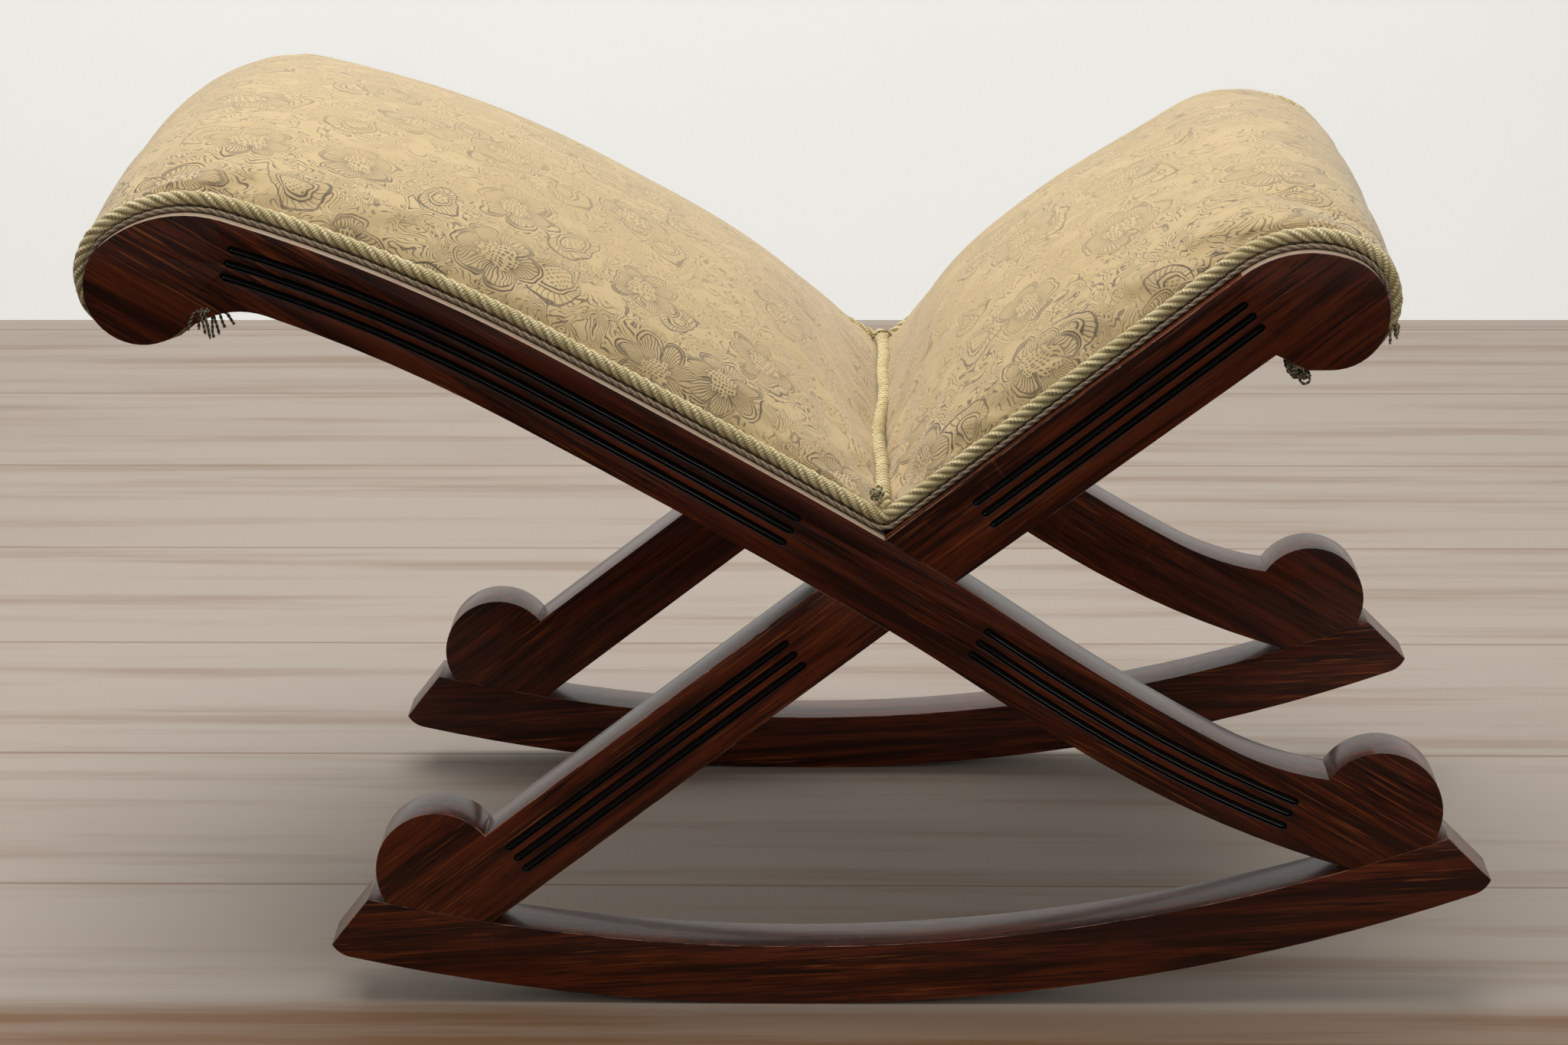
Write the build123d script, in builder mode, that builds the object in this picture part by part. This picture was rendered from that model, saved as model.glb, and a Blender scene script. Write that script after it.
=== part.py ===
"""Rocking footstool: two crossed mahogany frames on curved rockers, with a long and a short padded arm.

Lengths are in millimetres and angles in degrees, +Z is up.  The elevation of a side frame is drawn in
the frame's own coordinates: x along the stool, y up, with the origin at the middle of the rocker's
tread.  At rest the stool lies rolled a little towards its longer, heavier arm, so the elevation is
drawn on a plane that is rolled by rest_tilt about the rocker's centre of curvature.  The part's
origin is the point of the floor where the rockers touch it, midway between the two frames.
"""
import os
from math import atan, ceil, cos, degrees, inf, radians, sin, sqrt, tan

from build123d import *

os.makedirs("parts", exist_ok=True)

# ---------------------------------------------------------------- driving dimensions
overall_depth = 408.0  # outer face to outer face of the two side frames
rest_tilt = 3.6  # roll towards the long arm at which the stool comes to rest

# Rockers
rocker_length = 610.0  # tip to tip
rocker_radius = 1055.0  # tread
rocker_top_radius = 979.0
rocker_depth = 32.4  # at the middle
rocker_thickness = 33.0
rocker_tip_height = 50.0
rocker_bevel_length = 21.5  # from the tip back to the top corner
rocker_tip_round = 9.0

# Crossed beams
beam_width = 40.0
beam_thickness = 33.0
valley_height = 254.0  # where the top edges of the two beams meet
long_beam_slope = 34.3
short_beam_slope = 34.1
foot_scroll_radius = 32.5
short_foot_reach = 245.5  # foot scroll centres, from the rocker's middle
long_foot_reach = 248.5
short_foot_height = 87.5
long_foot_height = 91.0

# Top edges, from the valley outwards, as tangent arcs: (length along the edge, turn, left positive)
long_arm_edge = [(199.0, 1.9), (175.0, 11.7), (63.8, 55.0), (97.0, 188.0)]
long_leg_edge = [(86.0, -4.2), (123.0, 6.4), (57.5, 20.0)]
short_arm_edge = [(226.5, 0.0), (60.4, -60.2), (80.3, -157.0)]
short_leg_edge = [(262.0, 0.0)]
long_neck_start = 36.0  # length of the long arm's second arc that its underside leaves to the neck
long_neck_radius = 41.0
long_neck_turn = 50.0
short_neck_start = 10.5  # length of the short arm's straight run that its underside leaves to the neck
short_neck_spread = 3.5  # how much wider than its root the short arm is at the neck
short_scroll_run = 12.0  # straight end of the short arm's scroll, past its roll
long_ankle_start = 160.0  # length of the long leg's edge that its underside follows
long_ankle_radius = 560.0
long_ankle_turn = 15.4
short_foot_run = 312.0  # length of the short leg's underside, down past the rocker's top

# Flutes on the outer faces
flute_width = 3.4
flute_depth = 2.2
flute_pitch = 7.3
flute_count = 3
long_arm_flutes = (43.0, 367.0)  # first and last station along the top edge, from the valley
short_arm_flutes = (48.0, 220.0)
long_leg_flutes = (70.0, 256.0)
long_flute_edge = [(86.0, -4.2), (74.0, 3.9), (100.0, 8.5)]  # the long leg's flutes bend less than its edge
short_leg_flutes = (73.0, 260.0)

# Cross rails and their round tenons
tenon_diameter = 20.0
tenon_length = 20.0
tenon_clearance = 0.1
end_rail_clearance = 0.3
valley_tenon_diameter = 16.0
valley_tenon_length = 14.0
valley_tenon_drop = 21.5
valley_rail_reach = 32.0

# Dowels that hold the rockers to the feet, glued into blind holes in both
dowel_diameter = 12.0
dowel_length = 50.0
dowel_cover = 12.0  # wood left between a dowel and the tread
dowel_clearance = 0.1

# Upholstery, measured outwards from the beams' top edges
face_margin = 7.0  # strip of the beam's top left bare in front of the cord
cord_diameter = 8.4
cord_sides = 6
cord_clearance = 0.1
long_cord_end = 476.0  # the edge cords end before this, a little past the scrolls' outermost points
short_cord_end = 335.0
web_width = 50.0
web_thickness = 1.2
web_clearance = 0.4  # between the cross webs and the lengthwise webs over them
long_web_end = 470.0  # the lengthwise webs are tacked to the end rails before this, along the top edges
short_web_end = 320.0
hessian_thickness = 0.8
layer_inset = 2.0  # webs and hessian stop this far inside the cover's skirt
cover_thickness = 1.6
cover_skirt = 5.0  # straight part of the cover's side
cover_clearance = 0.5  # under the cover's edges
padding_clearance = 0.5
shoulder_share = 0.32  # radius of the cushion's shoulders, as a share of its crown
mitre_gap = 0.3  # half the gap between the two cushions in the valley
valley_lead = 12.0  # how far past the valley each cushion is drawn before the mitre cuts it

# Crown of each cushion: (share of the way from the valley to the tuck under the scroll, height)
long_crown = [(0.0, 7.0), (0.05, 17.0), (0.16, 40.0), (0.38, 49.0), (0.68, 35.0), (0.85, 12.5), (1.0, 7.0)]
short_crown = [(0.0, 7.0), (0.07, 17.0), (0.2, 38.0), (0.38, 44.0), (0.66, 27.0), (0.86, 11.5), (1.0, 7.0)]
section_sag = 0.35  # how far the edge may bow out between two sections of a cushion
section_step = 60.0  # longest stretch between two sections
rise_stations = [10.0, 26.0]  # further sections, where the crowns rise out of the valley
shoulder_steps = 2  # straight runs that each of the cover's shoulders is drawn with, and one inside it
crown_steps = 4
long_web_shares = [0.08, 0.26, 0.44, 0.62]
short_web_shares = [0.12, 0.34, 0.56]
web_places = [-110.0, 0.0, 110.0]  # lengthwise webs, across the stool

# ---------------------------------------------------------------- derived places
tilt = radians(rest_tilt)
elevation = Plane(
    origin=(rocker_radius * sin(tilt), 0, rocker_radius * (1 - cos(tilt))),
    x_dir=(cos(tilt), 0, sin(tilt)),
    z_dir=(0, -1, 0),
)
outer_face = overall_depth / 2
inner_face = outer_face - beam_thickness
lap_face = outer_face - beam_thickness / 2
cord_line = outer_face - face_margin - cord_diameter / 2
cord_offset = cord_diameter / 2 + cord_clearance
cover_half = cord_line - cord_offset
layer_half = cover_half - cover_thickness - layer_inset
webs_top = 2 * web_thickness + web_clearance
hessian_top = webs_top + hessian_thickness
valley = Vector(0, valley_height)
short_foot = Vector(-short_foot_reach, short_foot_height)
long_foot = Vector(long_foot_reach, long_foot_height)


def at_depth(y):
    """The elevation plane moved to depth y, its normal towards the front."""
    return elevation.offset(-y)


def heading_vector(angle):
    return Vector(cos(radians(angle)), sin(radians(angle)))


def in_space(point):
    """A point of the elevation, midway between the frames."""
    return elevation.from_local_coords(Vector(point.X, point.Y, 0))


# A run is (start, heading, pieces, side); side is +1 where the upholstered side is to the left of travel.
def draw_run(run, offset=0.0):
    """Draw a run's tangent arcs, offset outwards, and return where they end and the heading there."""
    start, heading, pieces, side = run
    point = start + heading_vector(heading + 90 * side) * offset
    for length, turn in pieces:
        if turn:
            inwards = side if turn > 0 else -side
            radius = length / radians(abs(turn)) - inwards * offset
            point = JernArc(point, heading_vector(heading), radius, turn) @ 1
        else:
            point = PolarLine(point, length, heading) @ 1
        heading += turn
    return point, heading


def run_length(run):
    return sum(length for length, turn in run[2])


def station_on(run, station):
    """Point and heading at a distance along a run."""
    point, heading, pieces, side = run
    for length, turn in pieces:
        step = min(length, station)
        angle = turn * step / length
        chord = 2 * step / radians(angle) * sin(radians(angle) / 2) if angle else step
        point += heading_vector(heading + angle / 2) * chord
        heading += angle
        station -= step
    return point, heading


def beside(run, station, offset):
    """Point at a distance along a run, moved outwards."""
    point, heading = station_on(run, station)
    return point + heading_vector(heading + 90 * run[3]) * offset


def cut_run(run, first, last):
    """The stretch of a run between two distances along it."""
    point, heading = station_on(run, first)
    kept = []
    done = 0.0
    for length, turn in run[2]:
        low = max(first - done, 0.0)
        high = min(last - done, length)
        if high > low:
            kept.append((high - low, turn * (high - low) / length))
        done += length
    return point, heading, kept, run[3]


def led_run(run, lead):
    """A run that starts this far before its own start, in a straight line."""
    start, heading, pieces, side = run
    return start - heading_vector(heading) * lead, heading, [(lead, 0.0)] + pieces, side


long_arm = (valley, 180 - long_beam_slope, long_arm_edge, -1)
long_leg = (valley, -long_beam_slope, long_leg_edge, 1)
long_flutes = (valley, -long_beam_slope, long_flute_edge, 1)
short_arm = (valley, short_beam_slope, short_arm_edge, 1)
short_leg = (valley, 180 + short_beam_slope, short_leg_edge, -1)


def nose_of(arm):
    """Centre and radius of the last arc of an arm, the roll of its scroll."""
    length, turn = arm[2][-1]
    radius = length / radians(abs(turn))
    return beside(arm, run_length(arm), -radius), radius


long_nose, long_nose_radius = nose_of(long_arm)
short_nose, short_nose_radius = nose_of(short_arm)


# ---------------------------------------------------------------- rocker outline
def arc_rise(x, radius):
    return radius - sqrt(radius**2 - x**2)


tip = Vector(rocker_length / 2, rocker_tip_height)
tread_end = Vector(tip.X - rocker_tip_round, arc_rise(tip.X - rocker_tip_round, rocker_radius))
top_corner = Vector(
    tip.X - rocker_bevel_length,
    rocker_depth + arc_rise(tip.X - rocker_bevel_length, rocker_top_radius),
)

with BuildSketch() as rocker_outline:
    with BuildLine():
        tread = ThreePointArc((-tread_end.X, tread_end.Y), (0, 0), tread_end)
        under_tip = TangentArc(tread_end, tip, tangent=tread % 1)
        Line(tip, top_corner)
        mirror(under_tip, about=Plane.YZ)
        Line((-tip.X, tip.Y), (-top_corner.X, top_corner.Y))
        ThreePointArc(top_corner, (0, rocker_depth), (-top_corner.X, top_corner.Y))
    make_face()


# ---------------------------------------------------------------- beam outlines
def carry_foot(notch, foot, under_foot):
    """Lines that carry a beam's outline through its foot scroll and down past the rocker's top."""
    bottom = foot.Y - foot_scroll_radius - rocker_depth / 2
    Polyline(notch, foot, Vector(foot.X, bottom), Vector(under_foot.X, bottom), under_foot)


def seat_foot(foot):
    """Add the foot scroll and trim the foot to the rocker's top."""
    with Locations(foot):
        Circle(foot_scroll_radius)
    with Locations((0, rocker_depth + rocker_top_radius)):
        Circle(rocker_top_radius, mode=Mode.INTERSECT)


with BuildSketch() as long_outline:
    with BuildLine():
        scroll_end = draw_run(long_arm)[0]
        under_length = long_arm_edge[0][0] + long_arm_edge[1][0] - long_neck_start
        neck, neck_heading = draw_run(cut_run(long_arm, 0, under_length), -beam_width)
        throat = JernArc(neck, heading_vector(neck_heading), long_neck_radius, long_neck_turn) @ 1
        Line(throat, scroll_end)
        notch = draw_run(long_leg)[0]
        ankle, ankle_heading = draw_run(cut_run(long_leg, 0, long_ankle_start), -beam_width)
        under_foot = JernArc(ankle, heading_vector(ankle_heading), long_ankle_radius, long_ankle_turn) @ 1
        carry_foot(notch, long_foot, under_foot)
    make_face()
    seat_foot(long_foot)

with BuildSketch() as short_outline:
    with BuildLine():
        roll_end, roll_heading = draw_run(short_arm)
        scroll_end = PolarLine(roll_end, short_scroll_run, roll_heading) @ 1
        under_length = short_arm_edge[0][0] - short_neck_start
        throat = beside(short_arm, under_length, -beam_width - short_neck_spread)
        Polyline(beside(short_arm, 0, -beam_width), throat, scroll_end)
        notch = draw_run(short_leg)[0]
        ankle = beside(short_leg, 0, -beam_width)
        under_foot = PolarLine(ankle, short_foot_run, short_leg[1]) @ 1
        carry_foot(notch, short_foot, under_foot)
    make_face()
    seat_foot(short_foot)


def flute_sketch(run, first, last):
    """Flutes that follow the top edge, evenly spaced, their rounded ends drawn as halves of a hexagon."""
    radius = flute_width / 2
    end_reach = radius * cos(radians(30))
    stretch = cut_run(run, first + end_reach, last - end_reach)
    with BuildSketch() as flutes:
        for index in range(flute_count):
            middle = (index - (flute_count - 1) / 2) * flute_pitch - beam_width / 2
            low, high = middle - radius, middle + radius
            with BuildLine():
                draw_run(stretch, low)
                draw_run(stretch, high)
                for end, full in ((first, first + end_reach), (last, last - end_reach)):
                    tip = [beside(run, end, middle - radius / 2), beside(run, end, middle + radius / 2)]
                    Polyline(beside(run, full, low), *tip, beside(run, full, high))
            make_face()
    return flutes.sketch


# ---------------------------------------------------------------- dowels between rockers and feet
def tread_plane(x, depth):
    """Plane square to the tread of the front rocker, this deep inside it, facing its centre."""
    angle = x / rocker_radius
    inward = Vector(-sin(angle), cos(angle))
    point = Vector(rocker_radius * sin(angle), arc_rise(rocker_radius * sin(angle), rocker_radius))
    origin = in_space(point + inward * depth) - Vector(0, outer_face - rocker_thickness / 2, 0)
    normal = in_space(inward) - in_space(Vector(0, 0))
    return Plane(origin=origin, x_dir=(0, 1, 0), z_dir=normal)


dowel_places = [-short_foot_reach, long_foot_reach]


def bore_dowel_hole(x):
    """Bore the hole for a dowel, square to the tread, in the part being built."""
    with BuildSketch(tread_plane(x, dowel_cover - dowel_clearance)) as hole:
        Circle(dowel_diameter / 2 + dowel_clearance)
    extrude(hole.sketch, amount=dowel_length + 2 * dowel_clearance, mode=Mode.SUBTRACT)


# ---------------------------------------------------------------- side frames
valley_tenon = valley - Vector(0, valley_tenon_drop)


def carve_beam(outline, crossing, lap_plane, fluted, sockets, dowel_place):
    """Cut one beam of the front frame: body, flutes, half lap, mortises and dowel hole."""
    with BuildSketch(at_depth(-inner_face)) as body:
        add(outline.sketch)
    extrude(body.sketch, amount=beam_thickness)
    with BuildSketch(at_depth(-outer_face)) as flutes:
        for run, stations in fluted:
            add(flute_sketch(run, *stations))
    extrude(flutes.sketch, amount=-flute_depth, mode=Mode.SUBTRACT)
    with BuildSketch(lap_plane) as lap:
        add(crossing.sketch)
    extrude(lap.sketch, amount=-beam_thickness / 2, mode=Mode.SUBTRACT)
    for point, diameter, length in sockets:
        with BuildSketch(at_depth(-inner_face)) as mortise:
            with Locations(point):
                Circle(diameter / 2 + tenon_clearance)
        extrude(mortise.sketch, amount=length + tenon_clearance, mode=Mode.SUBTRACT)
    bore_dowel_hole(dowel_place)


with BuildPart() as long_beam_front:
    carve_beam(
        long_outline, short_outline, at_depth(-lap_face),
        [(long_arm, long_arm_flutes), (long_flutes, long_leg_flutes)],
        [(long_nose, tenon_diameter, tenon_length)],
        long_foot_reach,
    )

with BuildPart() as short_beam_front:
    carve_beam(
        short_outline, long_outline, at_depth(-outer_face),
        [(short_arm, short_arm_flutes), (short_leg, short_leg_flutes)],
        [
            (short_nose, tenon_diameter, tenon_length),
            (valley_tenon, valley_tenon_diameter, valley_tenon_length),
        ],
        -short_foot_reach,
    )

with BuildPart() as rocker_front:
    with BuildSketch(at_depth(rocker_thickness - outer_face)):
        add(rocker_outline.sketch)
    extrude(amount=rocker_thickness)
    for x in dowel_places:
        bore_dowel_hole(x)

with BuildPart() as rocker_dowels_front:
    for x in dowel_places:
        with BuildSketch(tread_plane(x, dowel_cover)):
            Circle(dowel_diameter / 2)
        extrude(amount=dowel_length)


# ---------------------------------------------------------------- cross rails
def cross_bar(profile, reach):
    """Extrude a profile into a bar that reaches this far either side of the middle."""
    with BuildSketch(at_depth(reach)) as section:
        add(profile)
    extrude(section.sketch, amount=2 * reach)


def disc(centre, diameter):
    with BuildSketch() as face:
        with Locations(centre):
            Circle(diameter / 2)
    return face.sketch


with BuildPart() as long_end_rail:
    cross_bar(disc(long_nose, 2 * (long_nose_radius - end_rail_clearance)), inner_face)
    cross_bar(disc(long_nose, tenon_diameter), inner_face + tenon_length)

with BuildPart() as short_end_rail:
    cross_bar(disc(short_nose, 2 * (short_nose_radius - end_rail_clearance)), inner_face)
    cross_bar(disc(short_nose, tenon_diameter), inner_face + tenon_length)

with BuildSketch() as valley_block:
    add(long_outline.sketch)
    add(short_outline.sketch)
    with Locations(valley):
        Circle(valley_rail_reach, mode=Mode.INTERSECT)

with BuildPart() as valley_rail:
    cross_bar(valley_block.sketch, inner_face)
    cross_bar(disc(valley_tenon, valley_tenon_diameter), inner_face + valley_tenon_length)


# ---------------------------------------------------------------- lofts along an arm
def section_plane(run, station):
    """Plane square to a run, x across the stool and y outwards."""
    point, heading = station_on(run, station)
    forward = in_space(heading_vector(heading)) - in_space(Vector(0, 0))
    return Plane(origin=in_space(point), x_dir=(0, run[3], 0), z_dir=forward)


def section_stations(arm):
    """Places of the sections along an arm, closer together where its edge turns."""
    stations = [-valley_lead, 0.0] + rise_stations
    start = 0.0
    for length, turn in arm[2]:
        steps = ceil(max(length / section_step, sqrt(length * radians(abs(turn)) / section_sag / 8)))
        stations += [start + length * (step + 1) / steps for step in range(steps)]
        start += length
    return stations


def loft_along(arm, section_at, last):
    """Loft the sections that a share of the way gives along an arm, from past the valley up to last."""
    run = led_run(arm, valley_lead)
    sections = []
    for station in section_stations(arm):
        if station < last:
            with BuildSketch(section_plane(run, valley_lead + station)) as section:
                add(section_at(station / run_length(arm)))
            sections.append(section.sketch)
    loft(sections, ruled=True)


def mitre(side):
    """Trim the part being built to its own side of the valley; side is -1 for the long arm."""
    plane = Plane(origin=in_space(valley + Vector(side * mitre_gap, 0)), z_dir=elevation.x_dir)
    split(bisect_by=plane, keep=Keep.TOP if side > 0 else Keep.BOTTOM)


# ---------------------------------------------------------------- webs and hessian
def lay_cross_webs(arm, shares):
    """Webs from frame to frame, tacked to the tops of the beams."""
    for share in shares:
        middle = share * run_length(arm)
        stretch = cut_run(arm, middle - web_width / 2, middle + web_width / 2)
        with BuildSketch() as strip:
            with BuildLine():
                under_end = draw_run(stretch)[0]
                top_end = draw_run(stretch, web_thickness)[0]
                Line(under_end, top_end)
                Line(beside(stretch, 0, 0), beside(stretch, 0, web_thickness))
            make_face()
        cross_bar(strip.sketch, layer_half)


def layer_section(middle, width, low, high):
    """Section of a flat layer between two heights over the top edges."""
    with BuildSketch() as section:
        with Locations((middle, (low + high) / 2)):
            Rectangle(width, high - low)
    return section.sketch


def lay_length_webs(arm, end):
    """Webs from the valley rail to the top of the end rail, over the cross webs."""
    for place in web_places:
        section = layer_section(place, web_width, webs_top - web_thickness, webs_top)
        loft_along(arm, lambda share: section, end)


def lay_hessian(arm):
    section = layer_section(0, 2 * layer_half, webs_top, hessian_top)
    loft_along(arm, lambda share: section, inf)


with BuildPart() as cross_webs_long:
    lay_cross_webs(long_arm, long_web_shares)

with BuildPart() as cross_webs_short:
    lay_cross_webs(short_arm, short_web_shares)

with BuildPart() as length_webs_long:
    lay_length_webs(long_arm, long_web_end)
    mitre(-1)

with BuildPart() as length_webs_short:
    lay_length_webs(short_arm, short_web_end)
    mitre(1)

with BuildPart() as hessian_long:
    lay_hessian(long_arm)
    mitre(-1)

with BuildPart() as hessian_short:
    lay_hessian(short_arm)
    mitre(1)


# ---------------------------------------------------------------- cushions
def draw_crown(half, foot, shoulder, height, steps=1):
    """A cushion's section from side to side: skirt, shoulder, crown, shoulder and skirt."""
    lean = 90 - 2 * degrees(atan((height - cover_skirt - shoulder) / (half - shoulder)))
    crown_radius = (half - shoulder) / cos(radians(lean)) + shoulder
    with BuildLine(mode=Mode.PRIVATE):
        rise = JernArc((-half, cover_skirt), (0, 1), shoulder, -lean)
        crown = JernArc(rise @ 1, rise % 1, crown_radius, 2 * lean - 180)
        fall = JernArc(crown @ 1, crown % 1, shoulder, -lean)
    points = []
    for arc, runs in ((rise, steps), (crown, crown_steps), (fall, steps)):
        points += [arc @ (step / runs) for step in range(runs)]
    Polyline((-half, foot), *points, fall @ 1, (half, foot))


def cover_section(height):
    shoulder = shoulder_share * height
    lining = cover_half - cover_thickness
    with BuildSketch() as section:
        with BuildLine():
            draw_crown(cover_half, cover_clearance, shoulder, height, shoulder_steps)
            draw_crown(lining, cover_clearance, shoulder - cover_thickness, height - cover_thickness)
            for side in (-1, 1):
                Line((side * cover_half, cover_clearance), (side * lining, cover_clearance))
        make_face()
    return section.sketch


def padding_section(height):
    inset = cover_thickness + padding_clearance
    half = cover_half - inset
    foot = hessian_top + padding_clearance
    with BuildSketch() as section:
        with BuildLine():
            draw_crown(half, foot, shoulder_share * height - inset, height - inset)
            Line((-half, foot), (half, foot))
        make_face()
    return section.sketch


def crown_height(crown, share):
    """Height at a share of the way, on the smooth curve through the crown's table."""

    def slope_at(index):
        (low, start), (high, end) = crown[max(index - 1, 0)], crown[min(index + 1, len(crown) - 1)]
        return (end - start) / (high - low)

    share = min(max(share, crown[0][0]), crown[-1][0])
    index = max(i for i, (place, height) in enumerate(crown[:-1]) if place <= share)
    (low, start), (high, end) = crown[index], crown[index + 1]
    part = (share - low) / (high - low)
    rise = part**2 * (3 - 2 * part)
    leave = part * (1 - part) ** 2 * (high - low) * slope_at(index)
    arrive = part**2 * (1 - part) * (high - low) * slope_at(index + 1)
    return start + (end - start) * rise + leave - arrive


def loft_cushion(arm, crown, section_of):
    """Loft a cushion's section, whose crown follows the table."""
    loft_along(arm, lambda share: section_of(crown_height(crown, share)), inf)


with BuildPart() as padding_long:
    loft_cushion(long_arm, long_crown, padding_section)
    mitre(-1)

with BuildPart() as padding_short:
    loft_cushion(short_arm, short_crown, padding_section)
    mitre(1)

with BuildPart() as cover_long:
    loft_cushion(long_arm, long_crown, cover_section)
    mitre(-1)

with BuildPart() as cover_short:
    loft_cushion(short_arm, short_crown, cover_section)
    mitre(1)


# ---------------------------------------------------------------- cords
def lay_cord(arm, end):
    """Cord along the front edge of a cushion, from the valley round its scroll."""
    with BuildSketch() as section:
        with Locations((-arm[3] * cord_line, cord_offset)):
            RegularPolygon(cord_diameter / 2, cord_sides)
    loft_along(arm, lambda share: section.sketch, end)


with BuildPart() as cord_long_front:
    lay_cord(long_arm, long_cord_end)
    mitre(-1)

with BuildPart() as cord_short_front:
    lay_cord(short_arm, short_cord_end)
    mitre(1)

# The valley cord lies in the crease between the two cushions, whose tops meet above the valley at this
# height over the beams' edges and fall away from each other at this steepness.
beam_slope = radians((long_beam_slope + short_beam_slope) / 2)
crease_crown = long_crown[0][1]
for _ in range(20):
    crease_crown = crown_height(long_crown, crease_crown * tan(beam_slope) / run_length(long_arm))
beyond = crown_height(long_crown, (crease_crown * tan(beam_slope) + cord_offset) / run_length(long_arm))
crease_slope = beam_slope + atan((beyond - crease_crown) / cord_offset)
middle_height = valley_height + crease_crown / cos(beam_slope) + cord_offset / cos(crease_slope)
end_drop = (1 - shoulder_share) * crease_crown - cover_skirt

with BuildPart() as valley_cord:
    crease = Plane(origin=in_space(Vector(0, 0)), x_dir=(0, 1, 0), z_dir=elevation.x_dir)
    with BuildLine(crease) as route:
        end_height = middle_height - end_drop / cos(beam_slope)
        ThreePointArc((-cover_half, end_height), (0, middle_height), (cover_half, end_height))
    with BuildSketch(Plane(origin=route.wire() @ 0, z_dir=route.wire() % 0)):
        RegularPolygon(cord_diameter / 2, cord_sides)
    sweep(path=route.wire())

# ---------------------------------------------------------------- back frame, mirrored
with BuildPart() as long_beam_back:
    mirror(long_beam_front.part, about=Plane.XZ)

with BuildPart() as short_beam_back:
    mirror(short_beam_front.part, about=Plane.XZ)

with BuildPart() as rocker_back:
    mirror(rocker_front.part, about=Plane.XZ)

with BuildPart() as rocker_dowels_back:
    mirror(rocker_dowels_front.part, about=Plane.XZ)

with BuildPart() as cord_long_back:
    mirror(cord_long_front.part, about=Plane.XZ)

with BuildPart() as cord_short_back:
    mirror(cord_short_front.part, about=Plane.XZ)

# ---------------------------------------------------------------- files
pieces = {
    "long_beam_front": long_beam_front,
    "long_beam_back": long_beam_back,
    "short_beam_front": short_beam_front,
    "short_beam_back": short_beam_back,
    "rocker_front": rocker_front,
    "rocker_back": rocker_back,
    "rocker_dowels_front": rocker_dowels_front,
    "rocker_dowels_back": rocker_dowels_back,
    "long_end_rail": long_end_rail,
    "short_end_rail": short_end_rail,
    "valley_rail": valley_rail,
    "cross_webs_long": cross_webs_long,
    "cross_webs_short": cross_webs_short,
    "length_webs_long": length_webs_long,
    "length_webs_short": length_webs_short,
    "hessian_long": hessian_long,
    "hessian_short": hessian_short,
    "padding_long": padding_long,
    "padding_short": padding_short,
    "cover_long": cover_long,
    "cover_short": cover_short,
    "cord_long_front": cord_long_front,
    "cord_long_back": cord_long_back,
    "cord_short_front": cord_short_front,
    "cord_short_back": cord_short_back,
    "valley_cord": valley_cord,
}
for name, piece in pieces.items():
    piece.part.label = name
    export_step(piece.part, f"parts/{name}.step")
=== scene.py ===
# %% [markdown]
# # Rocking footstool
#
# A low leg rest: two X-shaped side frames of dark polished mahogany on curved rockers, and two stuffed
# cushions that meet in a V. The exact model arrives as a fixed frame of named nodes. This script gives
# every node its finish, and makes the soft and the twisted pieces in full: the cushions, the cords and
# their loose ends. Everything is in metres, in the model's own coordinates.

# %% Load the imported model
import math

import bmesh
import bpy
import numpy as np
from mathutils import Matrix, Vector


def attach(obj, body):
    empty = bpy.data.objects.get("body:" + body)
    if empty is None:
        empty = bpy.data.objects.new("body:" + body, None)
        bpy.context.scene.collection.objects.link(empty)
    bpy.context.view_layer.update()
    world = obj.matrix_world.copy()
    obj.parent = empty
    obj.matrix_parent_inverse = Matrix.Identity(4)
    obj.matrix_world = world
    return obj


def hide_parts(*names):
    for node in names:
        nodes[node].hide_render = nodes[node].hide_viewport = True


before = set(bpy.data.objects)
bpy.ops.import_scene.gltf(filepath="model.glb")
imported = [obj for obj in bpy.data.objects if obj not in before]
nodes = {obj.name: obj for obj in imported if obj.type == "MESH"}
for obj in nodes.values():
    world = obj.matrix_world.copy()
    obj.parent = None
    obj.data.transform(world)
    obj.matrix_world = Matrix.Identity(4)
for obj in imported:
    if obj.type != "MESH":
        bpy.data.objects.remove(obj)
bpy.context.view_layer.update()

# %% [markdown]
# ## Camera
#
# The camera stands in front of the stool, a little above it, and looks down at the crossing. Its place
# and its lens were worked out from the two parallel side frames, so that both frames fall where the
# picture shows them.

# %% Camera
CAMERA_LENS = 96.66
SENSOR_WIDTH = 36.0
CAMERA_PLACE = (0.04644, -2.27273, 0.86307)
CAMERA_TURN = (73.884, 0.289, 1.235)


def add_object(name, data):
    """An object in the scene that shows this data."""
    made = bpy.data.objects.new(name, data)
    bpy.context.scene.collection.objects.link(made)
    return made


camera = add_object("camera", bpy.data.cameras.new("camera"))
camera.data.lens = CAMERA_LENS
camera.data.sensor_width = SENSOR_WIDTH
camera.location = CAMERA_PLACE
camera.rotation_euler = [math.radians(angle) for angle in CAMERA_TURN]
bpy.context.scene.camera = camera
bpy.context.scene.view_settings.view_transform = "Standard"
print("camera at", [round(value, 3) for value in camera.location])

# %% [markdown]
# ## Building nodes in short lines
#
# A procedural finish is mostly arithmetic on coordinates. Adding each Math node by hand takes many
# lines, so a small class wraps a socket: `a + b` on two of them adds a Math node and returns its result.
# An effect that several materials share is a node group, built once and placed in each of them.

# %% Node helpers
LINE_CORE = 0.45
GREY = (0.5, 0.5, 0.5, 1.0)


def add_node(tree, kind, inputs=None, **settings):
    """Add a node, set its properties, and link or set its inputs."""
    node = tree.nodes.new(kind)
    for name, value in settings.items():
        setattr(node, name, value)
    for name, value in (inputs or {}).items():
        feed(tree, node.inputs[name], value)
    return node


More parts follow.
